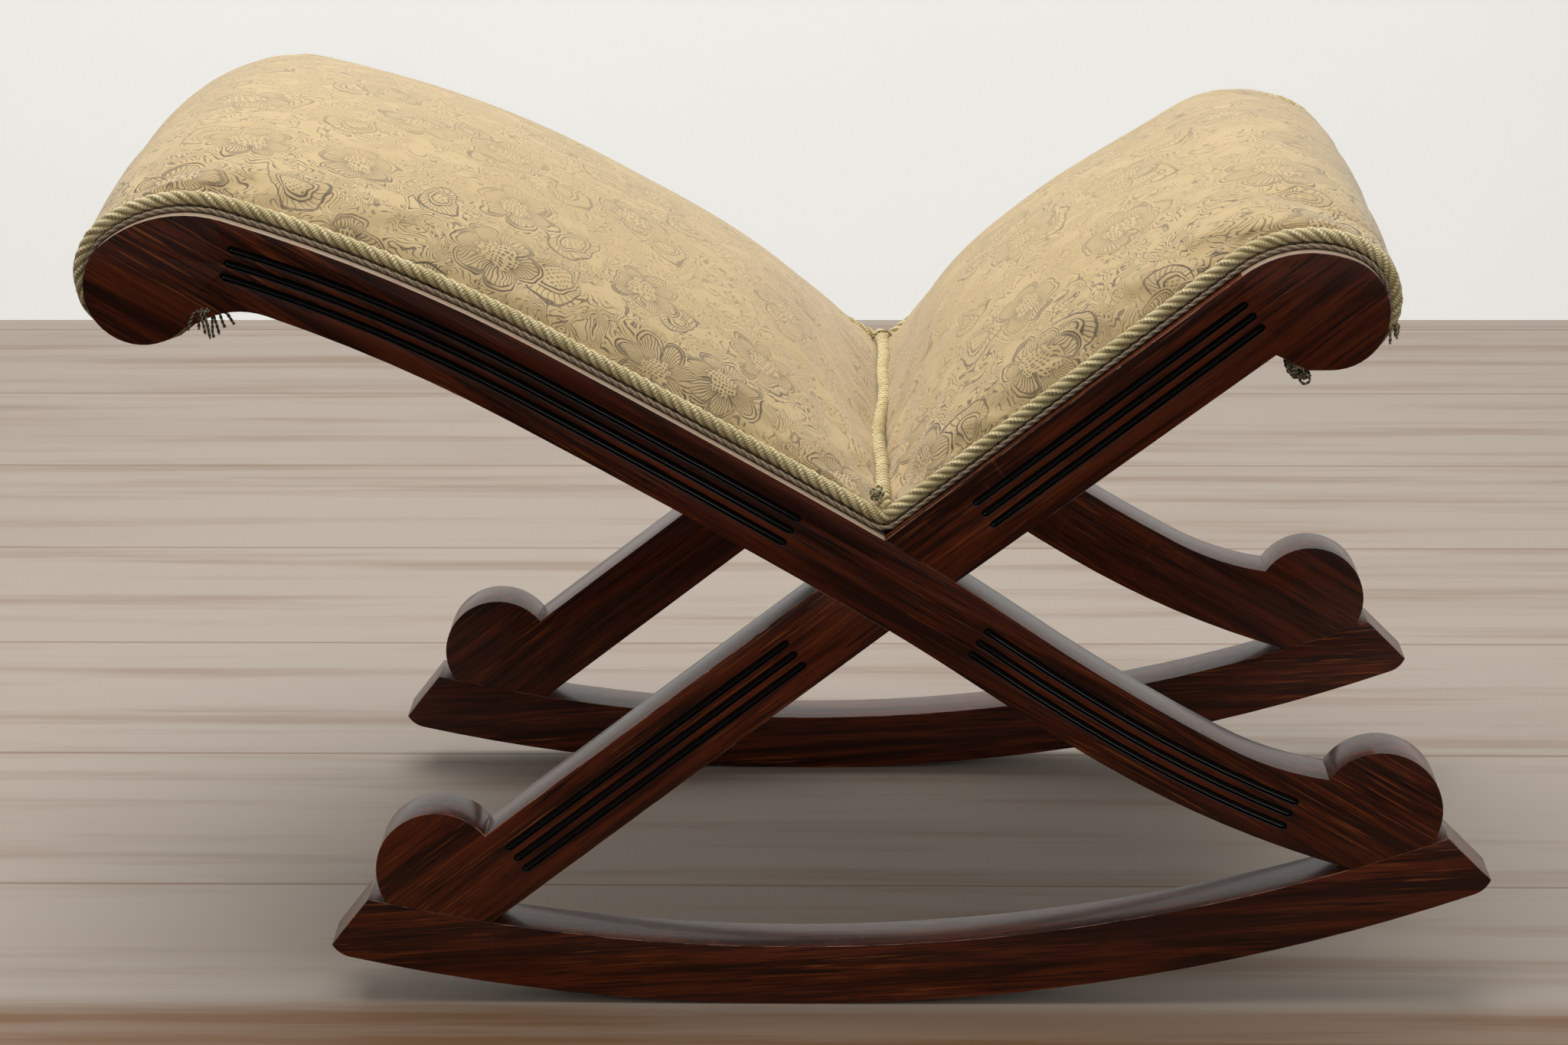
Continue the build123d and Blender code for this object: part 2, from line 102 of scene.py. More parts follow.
def feed(tree, socket, value):
    """Link a value that varies to a socket, or set a constant on it."""
    if isinstance(value, Field):
        value = value.socket
    if isinstance(value, bpy.types.NodeSocket):
        tree.links.new(value, socket)
    else:
        socket.default_value = value


class Field:
    """A value in a node tree, written like a number."""

    def __init__(self, tree, socket):
        self.tree = tree
        self.socket = socket

    def math(self, operation, *others):
        node = add_node(self.tree, "ShaderNodeMath", operation=operation)
        for socket, value in zip(node.inputs, (self, *others)):
            feed(self.tree, socket, value)
        return Field(self.tree, node.outputs[0])

    def __add__(self, other):
        return self.math("ADD", other)

    def __sub__(self, other):
        return self.math("SUBTRACT", other)

    def __mul__(self, other):
        return self.math("MULTIPLY", other)

    def __truediv__(self, other):
        return self.math("DIVIDE", other)

    def __rsub__(self, other):
        return self.math("MULTIPLY_ADD", -1.0, other)

    __radd__ = __add__
    __rmul__ = __mul__

    def smooth(self, low, high):
        """From 0 at low to 1 at high, with soft ends."""
        ramp = add_node(self.tree, "ShaderNodeMapRange", {"Value": self, "From Min": low, "From Max": high})
        ramp.interpolation_type = "SMOOTHSTEP"
        return Field(self.tree, ramp.outputs[0])

    def line(self, width):
        """1 where the value is near zero, falling to 0 at this distance from it."""
        return 1.0 - self.math("ABSOLUTE").smooth(width * LINE_CORE, width)


def blend_colours(tree, factor, first, second):
    """The first colour where the factor is 0 and the second where it is 1 (sockets 6 and 7 of the node)."""
    inputs = {0: factor, 6: first, 7: second}
    return add_node(tree, "ShaderNodeMix", inputs, data_type="RGBA").outputs[2]


def noise_field(tree, vector, scale, detail=2.0, roughness=0.5, distortion=0.0):
    """Noise from about 0.3 to 0.7 over a vector's places."""
    values = {"Vector": vector, "Scale": scale, "Detail": detail, "Roughness": roughness}
    node = add_node(tree, "ShaderNodeTexNoise", {**values, "Distortion": distortion})
    return Field(tree, node.outputs[0])


def vector_math(tree, operation, first, second):
    inputs = {0: first, 1: second}
    return add_node(tree, "ShaderNodeVectorMath", inputs, operation=operation).outputs[0]


def stretch(tree, vector, factors):
    """Scale a vector by a factor for each axis."""
    return vector_math(tree, "MULTIPLY", vector, factors)


def parts_of(tree, vector):
    """The three coordinates of a vector as fields."""
    node = add_node(tree, "ShaderNodeSeparateXYZ", {0: vector})
    return [Field(tree, socket) for socket in node.outputs]


def new_group(name, inputs, outputs, kind="ShaderNodeTree"):
    """A node group with named inputs, each with its type and default, and named outputs."""
    group = bpy.data.node_groups.new(name, kind)
    for label, (kind, default) in inputs.items():
        socket = group.interface.new_socket(label, in_out="INPUT", socket_type="NodeSocket" + kind)
        if default is not None:
            socket.default_value = default
    for label, kind in outputs.items():
        group.interface.new_socket(label, in_out="OUTPUT", socket_type="NodeSocket" + kind)
    return group, add_node(group, "NodeGroupInput").outputs, add_node(group, "NodeGroupOutput").inputs


def finish_group(name, colours, results, measures=()):
    """A shader group that takes a place, measures and colours, and gives a colour and other results."""
    inputs = {"Vector": ("Vector", None), **{label: ("Float", 0.0) for label in measures}}
    inputs.update({label: ("Color", GREY) for label in colours})
    outputs = {label: "Color" if label == "Color" else "Float" for label in results}
    return new_group(name, inputs, outputs)


def use_group(tree, group, inputs):
    """Place a node group in a material and return its outputs."""
    node = add_node(tree, "ShaderNodeGroup", node_tree=group)
    for name, value in inputs.items():
        feed(tree, node.inputs[name], value)
    return node.outputs


def new_material(name, **constants):
    """A material with one Principled shader, whose constants are set on its own sockets."""
    material = bpy.data.materials.new(name)
    material.use_nodes = True
    shader = material.node_tree.nodes["Principled BSDF"]
    for label, value in constants.items():
        shader.inputs[label.replace("_", " ")].default_value = value
    return material, material.node_tree, shader


def dress(tree, shader, colour, roughness=None, bump=None):
    """Give a shader its colour, its roughness, and its bump as a height, a strength and a distance."""
    feed(tree, shader.inputs["Base Color"], colour)
    if roughness is not None:
        feed(tree, shader.inputs["Roughness"], roughness)
    if bump is not None:
        values = dict(zip(("Height", "Strength", "Distance"), bump))
        feed(tree, shader.inputs["Normal"], add_node(tree, "ShaderNodeBump", values).outputs[0])


def object_vector(tree, turn=(0.0, 0.0, 0.0)):
    """Object coordinates, turned about the axes so that X can run along a piece's grain."""
    place = add_node(tree, "ShaderNodeTexCoord").outputs["Object"]
    return add_node(tree, "ShaderNodeMapping", {"Vector": place, "Rotation": turn}).outputs[0]


print("helpers ready")

# %% [markdown]
# ## Floor and backdrop
#
# A floor of streaked boards and a pale wall stand where the room's are. Two planes are enough for them,
# and the boards are drawn by a few noises that are stretched along X. Each plane is clear from its back,
# so that it never hides the stool from behind or from below. The wall glows a little, because a real wall
# is lit by the whole room. Just in front of the front rocker the boards carry a brown band of painted
# shadow and reflection. Out of view in front they are painted near-black as shade, where only the polish
# of the wood mirrors them.

# %% Floor and backdrop
ROOM_HALF_WIDTH = 6.0
FLOOR_FRONT = -5.0
WALL_PLACE = 1.36
WALL_HEIGHT = 3.2
FLOOR_COLOUR = (0.405, 0.34, 0.285, 1.0)
WALL_COLOUR = (0.87, 0.885, 0.87, 1.0)
WALL_GLOW = 0.31
FLOOR_BROWN = (0.19, 0.098, 0.042, 1.0)
BOARD_WIDTH = 0.2255
BOARD_SEAM = -0.03
SEAM_WIDTH = 0.009
# Where the brown band of painted shadow and reflection in front of the front rocker begins.
PAINTED_ROCKER_SHADOW_EDGE = (-0.19, -0.225)
# Painted shade: the near-black of the boards out of view in front, and where that shade fades in.
PAINTED_SHADE_BOARDS = (0.03, 0.025, 0.02, 1.0)
PAINTED_SHADE_FADE = (-0.6, -0.3)


def mesh_object(name, points, faces, material):
    """An object at the origin from points and faces."""
    mesh = bpy.data.meshes.new(name)
    mesh.from_pydata([tuple(point) for point in points], [], [tuple(face) for face in faces])
    mesh.materials.append(material)
    return add_object(name, mesh)


def across_room(near, far):
    """Corners of a plane as wide as the room, whose near and far edges lie at these (y, z)."""
    half = ROOM_HALF_WIDTH
    return [(-half, *near), (half, *near), (half, *far), (-half, *far)]


def stage_plane(name, corners, colour, glow=0.0):
    """A plane of the room, seen from its front only; its node tree, places, colour and shader."""
    glow_settings = {"Emission_Color": colour, "Emission_Strength": glow}
    material, tree, shader = new_material(name, Roughness=0.7, **glow_settings)
    place = object_vector(tree)
    tone = noise_field(tree, place, 3.0, 4.0)
    dark = [value * 0.97 for value in colour[:3]] + [1.0]
    soft = blend_colours(tree, tone.smooth(0.2, 0.8), dark, colour)
    dress(tree, shader, soft)
    away = add_node(tree, "ShaderNodeNewGeometry").outputs["Backfacing"]
    clear = add_node(tree, "ShaderNodeBsdfTransparent").outputs[0]
    either = add_node(tree, "ShaderNodeMixShader", {0: away, 1: shader.outputs[0], 2: clear})
    feed(tree, tree.nodes["Material Output"].inputs["Surface"], either.outputs[0])
    mesh_object(name, corners, [(0, 1, 2, 3)], material)
    return tree, place, soft, shader


def lay_boards(tree, place, soft, shader):
    """Boards along X with streaks and seams, a brown band of painted shadow and reflection before the front
    rocker, and painted shade out of view in front.
    """
    across = parts_of(tree, place)[1]
    board = (across - BOARD_SEAM) / BOARD_WIDTH
    streaks = noise_field(tree, stretch(tree, place, (1.6, 26.0, 1.0)), 1.0, 4.0, 0.62)
    patches = noise_field(tree, stretch(tree, place, (1.1, 4.0, 1.0)), 1.0, 2.0)
    brown = streaks.smooth(0.46, 0.72) * 0.45 + patches.smooth(0.5, 0.75) * 0.25
    # Painted shadow and reflection of the front rocker: the boards turn brown in front of it.
    brown = brown + across.smooth(*PAINTED_ROCKER_SHADOW_EDGE) * 0.7
    seam = (board - board.math("ROUND")).line(SEAM_WIDTH)
    colour = blend_colours(tree, brown, soft, FLOOR_BROWN)
    colour = blend_colours(tree, seam * 0.6, colour, FLOOR_BROWN)
    # Painted shade: the boards turn near-black out of view in front, so the polish mirrors dark there.
    dress(tree, shader, blend_colours(tree, across.smooth(*PAINTED_SHADE_FADE), PAINTED_SHADE_BOARDS, colour))


wall_foot = (WALL_PLACE, 0)
lay_boards(*stage_plane("floor", across_room((FLOOR_FRONT, 0), wall_foot), FLOOR_COLOUR))
stage_plane("backdrop", across_room(wall_foot, (WALL_PLACE, WALL_HEIGHT)), WALL_COLOUR, WALL_GLOW)
print("wall", WALL_PLACE, "m behind the stool's middle")

# %% [markdown]
# ## Light
#
# One wide soft lamp hangs overhead, as the tops of the cushions are the brightest part and the wood's
# upper faces mirror a pale ceiling. A weak lamp in front opens the shadows, and the world fills in the
# rest. Round area lamps are chosen because their soft edge leaves no hard line in the polish.

# %% Lamps and world
LAMP_AIM = (0.0, 0.0, 0.2)
LAMPS = {
    "overhead_lamp": {"place": (-0.3, 0.1, 2.3), "size": 2.4, "power": 53.0},
    "front_lamp": {"place": (1.4, -2.6, 1.5), "size": 1.6, "power": 11.0},
}
WORLD_COLOUR = (1.0, 0.99, 0.97, 1.0)
WORLD_STRENGTH = 0.28

for name, lamp in LAMPS.items():
    light = bpy.data.lights.new(name, "AREA")
    light.shape = "DISK"
    light.size = lamp["size"]
    light.energy = lamp["power"]
    holder = add_object(name, light)
    holder.location = lamp["place"]
    direction = Vector(LAMP_AIM) - Vector(lamp["place"])
    holder.rotation_euler = direction.to_track_quat("-Z", "Y").to_euler()

world = bpy.data.worlds.new("studio")
world.use_nodes = True
sky = world.node_tree.nodes["Background"].inputs
sky["Color"].default_value = WORLD_COLOUR
sky["Strength"].default_value = WORLD_STRENGTH
bpy.context.scene.world = world
print("lamps:", ", ".join(LAMPS))

# %% [markdown]
# ## Mahogany
#
# Polished mahogany is a deep red-brown with a ribbon figure along the grain, orange streaks, and short
# black pores a fraction of a millimetre wide. One node group makes all of that from coordinates whose X
# runs along the grain. Each piece turns its coordinates first, because a beam is sawn along its own
# slope.

# %% Grain group
PORE_BLACK = (0.006, 0.0025, 0.0015, 1.0)
RIBBON = (7.0, 130.0, 130.0)
FINE_STREAKS = (22.0, 820.0, 820.0)
PATCHES = (9.0, 22.0, 22.0)
PORES = (75.0, 2300.0, 2300.0)
SCRATCHES = (430.0, 25.0, 36.0)
SCUFFS = (14.0, 14.0, 14.0)


def wood_grain_group():
    """Mahogany along X, from three colours; its ribbon, its streaks, its pores and its fine scratches."""
    colours, results = ("Dark", "Red", "Streak"), ("Color", "Roughness", "Height")
    group, given, result = finish_group("wood_grain", colours, results)
    place = given["Vector"]
    ribbon = noise_field(group, stretch(group, place, RIBBON), 1.0, 3.0, 0.6, 0.6)
    fine = noise_field(group, stretch(group, place, FINE_STREAKS), 1.0, 2.0, 0.55)
    patch = noise_field(group, stretch(group, place, PATCHES), 1.0, 2.0)
    pores = noise_field(group, stretch(group, place, PORES), 1.0, 1.0)
    colour = blend_colours(group, ribbon.smooth(0.36, 0.66), given["Dark"], given["Red"])
    streaks = fine.smooth(0.56, 0.72) * patch.smooth(0.42, 0.62)
    colour = blend_colours(group, streaks * 0.75, colour, given["Streak"])
    lines = 1.0 - fine.smooth(0.3, 0.44)
    holes = pores.smooth(0.6, 0.68) * patch.smooth(0.3, 0.5)
    dark = lines.math("MAXIMUM", holes * 0.85)
    colour = blend_colours(group, dark * 0.88, colour, PORE_BLACK)
    scratches = noise_field(group, stretch(group, place, SCRATCHES), 1.0, 1.0, 0.5, 0.7)
    scuffed = noise_field(group, stretch(group, place, SCUFFS), 1.0, 1.0).smooth(0.6, 0.68)
    colour = blend_colours(group, scratches.smooth(0.7, 0.74) * scuffed * 0.15, colour, given["Streak"])
    feed(group, result["Color"], colour)
    feed(group, result["Roughness"], fine * 0.12 + 0.24)
    feed(group, result["Height"], 1.0 - holes)
    return group


WOOD_GRAIN = wood_grain_group()
print("groups:", WOOD_GRAIN.name)

# %% [markdown]
# ## Wear
#
# Edges of old polish are rubbed to a paler red and knocked to bare wood in places. The bevels of each
# piece are separate narrow faces, so they take a material of their own: the same grain, mixed with the
# rubbed colour where a noise says so.


# %% Wear group
def edge_wear_group():
    """Rubbed patches and small bare chips over a colour."""
    group, given, result = finish_group("edge_wear", ("Color", "Rubbed", "Bare"), ("Color", "Roughness"))
    rubbed = noise_field(group, given["Vector"], 55.0, 3.0, 0.6).smooth(0.42, 0.62)
    chips = noise_field(group, given["Vector"], 190.0, 3.0, 0.7).smooth(0.66, 0.7)
    colour = blend_colours(group, rubbed * 0.8, given["Color"], given["Rubbed"])
    feed(group, result["Color"], blend_colours(group, chips, colour, given["Bare"]))
    feed(group, result["Roughness"], chips * 0.35 + 0.22)
    return group


EDGE_WEAR = edge_wear_group()
print("groups:", EDGE_WEAR.name)

# %% [markdown]
# ## The woods of one frame
#
# Three finishes sit side by side on a beam: the polished grain, the black floor of a routed flute, where
# the stain has gathered, and the pale upward faces of an arm beside its cord, settled dust with a painted
# sheen. The grain is used once for each kind of piece, turned along its slope, and once more with the wear
# on top for its edges.

# %% Mahogany materials
REST_TILT = math.radians(3.6)
LONG_SLOPE = math.radians(34.3)
SHORT_SLOPE = math.radians(34.1)
WOOD_DARK = (0.028, 0.0052, 0.0016, 1.0)
WOOD_RED = (0.115, 0.020, 0.0045, 1.0)
WOOD_STREAK = (0.30, 0.078, 0.016, 1.0)
WOOD_RUBBED = (0.32, 0.15, 0.10, 1.0)
# Pale tone of the arms' upward faces: dust with a painted sheen.
WOOD_DUST_AND_SHEEN = (0.36, 0.27, 0.19, 1.0)
WOOD_BARE = (0.38, 0.24, 0.16, 1.0)
FLUTE_DEEP = (0.002, 0.0012, 0.001, 1.0)
FLUTE_DUST = (0.008, 0.004, 0.003, 1.0)
FLUTE_GLOSS = {"Coat_Weight": 0.22, "Coat_Roughness": 0.05, "Specular_IOR_Level": 0.12}
POLISH = {"Coat_Weight": 0.18, "Coat_Roughness": 0.12, "Specular_IOR_Level": 0.22}


def mahogany(name, turn, worn):
    """Polished mahogany whose grain is turned about Y; worn is for the rubbed edges."""
    material, tree, shader = new_material(name, **POLISH)
    place = object_vector(tree, (0.0, turn, 0.0))
    colours = {"Dark": WOOD_DARK, "Red": WOOD_RED, "Streak": WOOD_STREAK}
    grain = use_group(tree, WOOD_GRAIN, {"Vector": place, **colours})
    colour, roughness = grain["Color"], grain["Roughness"]
    if worn:
        colours = {"Color": colour, "Rubbed": WOOD_RUBBED, "Bare": WOOD_BARE}
        wear = use_group(tree, EDGE_WEAR, {"Vector": place, **colours})
        colour, roughness = wear["Color"], wear["Roughness"]
    dress(tree, shader, colour, roughness, (grain["Height"], 0.25, 0.0002))
    return material


def flute_black():
    """The near-black floor of a flute, under a coat that throws a narrow glint."""
    material, tree, shader = new_material("flute_black", **FLUTE_GLOSS)
    dust = noise_field(tree, object_vector(tree), 260.0, 3.0).smooth(0.45, 0.8)
    dress(tree, shader, blend_colours(tree, dust, FLUTE_DEEP, FLUTE_DUST), dust * 0.15 + 0.18)
    return material


def dust_and_sheen_top():
    """The arms' upward faces in front of the cords: dust settled into the polish, with a painted sheen."""
    material, tree, shader = new_material("dust_and_sheen_top", Roughness=0.45, Coat_Weight=0.3, Coat_Roughness=0.25)
    dust = noise_field(tree, object_vector(tree), 120.0, 3.0, 0.6).smooth(0.15, 0.55)
    dress(tree, shader, blend_colours(tree, dust, WOOD_RUBBED, WOOD_DUST_AND_SHEEN))
    return material


GRAIN_TURNS = {
    "long_beam": REST_TILT - LONG_SLOPE,
    "short_beam": REST_TILT + SHORT_SLOPE,
    "rocker": REST_TILT,
}
FLUTE_BLACK = flute_black()
DUST_AND_SHEEN = dust_and_sheen_top()
MAHOGANY = {kind: mahogany(kind + "_wood", turn, False) for kind, turn in GRAIN_TURNS.items()}
RUBBED = {kind: mahogany(kind + "_edges", turn, True) for kind, turn in GRAIN_TURNS.items()}
print("woods:", len(MAHOGANY) + len(RUBBED))

# %% [markdown]
# ## Beams and rockers
#
# The carved outlines are exact already, so each is a copy of its node with softened edges. The copy's
# loose triangles are merged and its flat faces joined again. Then the rims of the flutes and the outline
# get bevels of different widths, as a sanded edge is rounder than a routed one.

# %% Soften the edges of a copy
OVERALL_DEPTH = 0.408
FLUTE_DEPTH = 0.0022
EDGE_ROUND = 0.0011
RIM_ROUND = 0.0005
FLOOR_ROUND = 0.0013
SHARP_ANGLE = math.radians(28.0)
FLAT_ANGLE = math.radians(0.4)
CREASE_ANGLE = math.radians(50.0)
MERGE_DISTANCE = 2e-5
DUST_AND_SHEEN_SLOPE = 0.12
VALLEY_TOP = 0.257
POLISHED, EDGE, FLUTE, DUST_AND_SHEEN_FACES = range(4)


def sharp_edges(mesh):
    """The edges between two faces that meet at more than the sharp angle."""
    return [e for e in mesh.edges if len(e.link_faces) == 2 and e.calc_face_angle(0.0) > SHARP_ANGLE]


def in_flute(point):
    """True for a point on a flute's floor."""
    return abs(abs(point.y) - (OVERALL_DEPTH / 2 - FLUTE_DEPTH)) < 1e-5


def soften(node_name, piece_name, kind):
    """Copy a wooden node, bevel its edges, and stand it in the node's place."""
    mesh = bmesh.new()
    mesh.from_mesh(nodes[node_name].data)
    bmesh.ops.remove_doubles(mesh, verts=mesh.verts, dist=MERGE_DISTANCE)
    bmesh.ops.dissolve_limit(mesh, angle_limit=FLAT_ANGLE, verts=mesh.verts, edges=mesh.edges)
    for face in mesh.faces:
        face.smooth = True
        face.material_index = FLUTE if any(in_flute(v.co) for v in face.verts) else POLISHED
    sharp = sharp_edges(mesh)
    floors = [e for e in sharp if all(in_flute(v.co) for v in e.verts)]
    rims = [e for e in sharp if any(f.material_index == FLUTE for f in e.link_faces)]
    rims = [e for e in rims if not any(in_flute(v.co) for v in e.verts)]
    walls = {e for e in sharp if sum(in_flute(v.co) for v in e.verts) == 1}
    outline = [e for e in sharp if e not in set(floors) | set(rims) | walls]
    bevels = ((floors, FLOOR_ROUND, FLUTE), (rims, RIM_ROUND, FLUTE), (outline, EDGE_ROUND, EDGE))
    for edges, width, material in bevels:
        live = [edge for edge in edges if edge.is_valid]
        if live:
            bmesh.ops.bevel(
                mesh, geom=live, offset=width, segments=3, profile=0.5, affect="EDGES",
                material=material, clamp_overlap=True,
            )
    bmesh.ops.recalc_face_normals(mesh, faces=mesh.faces)
    for face in mesh.faces:
        face.smooth = True
        # Upward faces above the valley get the pale top: settled dust with a painted sheen.
        above = face.calc_center_median().z > VALLEY_TOP
        if face.normal.z > DUST_AND_SHEEN_SLOPE and above and face.material_index == POLISHED:
            face.material_index = DUST_AND_SHEEN_FACES
    piece = mesh_object(piece_name, [], [], MAHOGANY[kind])
    mesh.to_mesh(piece.data)
    mesh.free()
    for material in (RUBBED[kind], FLUTE_BLACK, DUST_AND_SHEEN):
        piece.data.materials.append(material)
    piece.data.set_sharp_from_angle(angle=CREASE_ANGLE)
    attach(piece, "root")
    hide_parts(node_name)
    return piece


print("bevels:", EDGE_ROUND, "m on the outline,", RIM_ROUND, "m on a flute's rim")

# %% [markdown]
# ## The six wooden pieces
#
# Each side frame has a long beam, a short beam and a rocker. The front and the back frame are mirror
# images, and each piece takes the place of its own exact node.

# %% Make the side frames
for side in ("front", "back"):
    for kind in GRAIN_TURNS:
        piece = soften(f"{kind}_{side}", f"polished_{kind}_{side}", kind)
        print(piece.name, len(piece.data.polygons), "faces")

# %% [markdown]
# ## Places along an arm
#
# Both cushions and all cords follow the top edges of the beams. An arm is a run of tangent arcs that
# starts in the valley, and a place on it is a distance along the edge, a height over it, and a depth
# across the stool. The whole elevation is rolled a little, as the stool rests towards its longer arm.

# %% Arms
ROCKER_RADIUS = 1.055
VALLEY = (0.0, 0.254)


def new_arm(slope, side, arcs):
    """An arm that leaves the valley on one side; its arcs are (length, turn in degrees)."""
    heading = slope if side > 0 else math.pi - slope
    length = sum(arc_length for arc_length, _ in arcs)
    return {"heading": heading, "slope": slope, "side": side, "arcs": arcs, "length": length}


def in_elevation(x, y, depth):
    """World points from the coordinates of a side frame's elevation, rolled to the stool's rest."""
    cos, sin = math.cos(REST_TILT), math.sin(REST_TILT)
    across = ROCKER_RADIUS * sin + x * cos - y * sin
    return np.stack([across, depth, ROCKER_RADIUS * (1 - cos) + x * sin + y * cos], axis=-1)


def place_on(arm, station, height, depth):
    """World points at these distances along an arm, heights over its edge and depths across the stool."""
    station, height, depth = np.broadcast_arrays(station, height, depth)
    heading = np.full(station.shape, arm["heading"])
    x, y = np.full(station.shape, VALLEY[0]), np.full(station.shape, VALLEY[1])
    left = station.astype(float)
    for index, (length, turn) in enumerate(arm["arcs"]):
        step = np.minimum(left, length)
        step = np.maximum(step, 0.0) if index else step
        angle = math.radians(turn) * step / length
        chord = step * np.sinc(angle / (2 * math.pi))
        x, y = x + chord * np.cos(heading + angle / 2), y + chord * np.sin(heading + angle / 2)
        heading = heading + angle
        left = left - step
    outward = heading + arm["side"] * math.pi / 2
    return in_elevation(x + height * np.cos(outward), y + height * np.sin(outward), depth)


LONG_ARM = new_arm(LONG_SLOPE, -1, [(0.199, 1.9), (0.175, 11.7), (0.0638, 55.0), (0.097, 188.0)])
SHORT_ARM = new_arm(SHORT_SLOPE, 1, [(0.2265, 0.0), (0.0604, -60.2), (0.0803, -157.0)])
print("arms:", round(LONG_ARM["length"], 4), round(SHORT_ARM["length"], 4))

# %% [markdown]
# ## Cushions
#
# Each cushion is one closed grid. Its top is a crown between two shoulders, whose height follows a
# table along the arm, and its underside lies on the hessian and on the beams. At the valley every row
# starts a little later the higher it lies, so that the two cushions meet in a mitre. A grid is chosen,
# because its rows follow the arm and give the fabric's pattern its places on the flat cloth.

# %% Cushion grid
COVER_HALF = 0.1885
LONG_CROWN = [(0, 7.0), (0.05, 18.0), (0.16, 40.5), (0.38, 48.5), (0.68, 34.5), (0.85, 12.0)]
LONG_CROWN += [(0.93, 4.4), (1, 2.4)]
SHORT_CROWN = [(0, 7.0), (0.07, 18.0), (0.2, 41.0), (0.38, 47.5), (0.66, 29.5), (0.86, 10.5)]
SHORT_CROWN += [(0.93, 4.4), (1, 2.4)]
SKIRT = 0.005
SHOULDER_SHARE = 0.32
UNDERSIDE = 0.0042
EDGE_FOOT = 0.0006
COVER_THICKNESS = 0.0016
MITRE_GAP = 0.0003
SHOULDER_STEPS = 8
CROWN_STEPS = 60
COLUMNS = 2 * SHOULDER_STEPS + CROWN_STEPS + 1
STATION_STEP = 0.0058
MITRE_ROUNDS = 30


def crown_at(crown, share):
    """Height in metres on the smooth curve through a crown's table."""
    places, heights = np.array(crown).T
    slopes = np.gradient(heights, places)
    index = np.clip(np.searchsorted(places, share, side="right") - 1, 0, len(places) - 2)
    width = places[index + 1] - places[index]
    part = np.clip((share - places[index]) / width, 0.0, 1.0)
    start = heights[index] * (1 + 2 * part) * (1 - part) ** 2
    end = heights[index + 1] * part**2 * (3 - 2 * part)
    lean = width * (slopes[index] * part * (1 - part) ** 2 - slopes[index + 1] * part**2 * (1 - part))
    return (start + end + lean) / 1000


def on_mitre(arm, height):
    """The station at which a line of this height starts, just off the plane between the cushions."""
    return height * math.tan(arm["slope"]) + MITRE_GAP / math.cos(arm["slope"])


def top_section(height):
    """Depths and heights of a cushion's top from its front edge to its back edge, the last axis across."""
    height = np.asarray(height)[..., None]
    shoulder, skirt = SHOULDER_SHARE * height, np.minimum(SKIRT, 0.6 * height)
    lean = math.pi / 2 - 2 * np.arctan((height - skirt - shoulder) / (COVER_HALF - shoulder))
    reach = (COVER_HALF - shoulder) / np.cos(lean)
    turn = np.linspace(0, 1, SHOULDER_STEPS + 1)[:-1] * lean
    sweep = lean + np.linspace(0, 1, CROWN_STEPS // 2 + 1) * (math.pi / 2 - lean)
    wide = reach + shoulder
    depth = np.concatenate([shoulder - COVER_HALF - shoulder * np.cos(turn), -wide * np.cos(sweep)], -1)
    low = skirt - reach * np.sin(lean)
    rise = np.concatenate([skirt + shoulder * np.sin(turn), low + wide * np.sin(sweep)], -1)
    return np.concatenate([depth, -depth[..., -2::-1]], -1), np.concatenate([rise, rise[..., -2::-1]], -1)


def top_points(arm, crown, station):
    """Depth and height of a cushion's top at each station; the last axis runs across the stool."""
    column = np.arange(station.shape[-1])
    section = top_section(crown_at(crown, station / arm["length"]))
    return [part[..., column, column] for part in section]


def cushion_rows(arm, crown):
    """Stations of every grid point: rows start on the mitre and end together under the scroll."""
    start = np.zeros(COLUMNS)
    for _ in range(MITRE_ROUNDS):
        start = on_mitre(arm, top_points(arm, crown, start)[1])
    share = np.linspace(0, 1, round(arm["length"] / STATION_STEP) + 1)[:, None]
    return start + (arm["length"] - start) * share


print("cushion grid:", COLUMNS, "columns")

# %% [markdown]
# ## Cover fabric
#
# The cover is a tan cloth with dark scrolling flowers and drops, worn faint in places. Waves and cells
# are enough to draw such a pattern: a cell's own centre and random numbers give a flower its place, its
# size and its count of petals, and a wave over the distance to the nearest flower gives the leaf sprays
# between them. The pattern is laid out in millimetres on the flat cloth.

# %% Fabric pattern
MM = 1000.0
FULL_TURN = 6.283
FLOWER_CELL = 74.0
DROP_CELL = 62.0
DOT_CELL = 2.5
FEWEST_PETALS = 5.0
FLOWER_HEART = 12.0
PETAL_REACH = 8.5
VEINS = 30.0
DROP_SIZE = 9.0
DROP_RIM = 4.2
RIBS = 15.0
WANDER = (17.0, 17.0, 0.0)


def cells_of(group, place, size, randomness):
    """Scattered cells: a point's place about the middle of its cell, and three random numbers of the cell."""
    values = {"Vector": place, "Scale": 1.0 / size, "Randomness": randomness}
    node = add_node(group, "ShaderNodeTexVoronoi", values, voronoi_dimensions="2D")
    x, y, _ = parts_of(group, vector_math(group, "SUBTRACT", place, node.outputs["Position"]))
    return x, y, parts_of(group, node.outputs["Color"]), Field(group, node.outputs["Distance"]) * size


def polar(x, y):
    """Distance and angle of a place about the middle."""
    return (x * x + y * y).math("SQRT"), y.math("ARCTAN2", x)


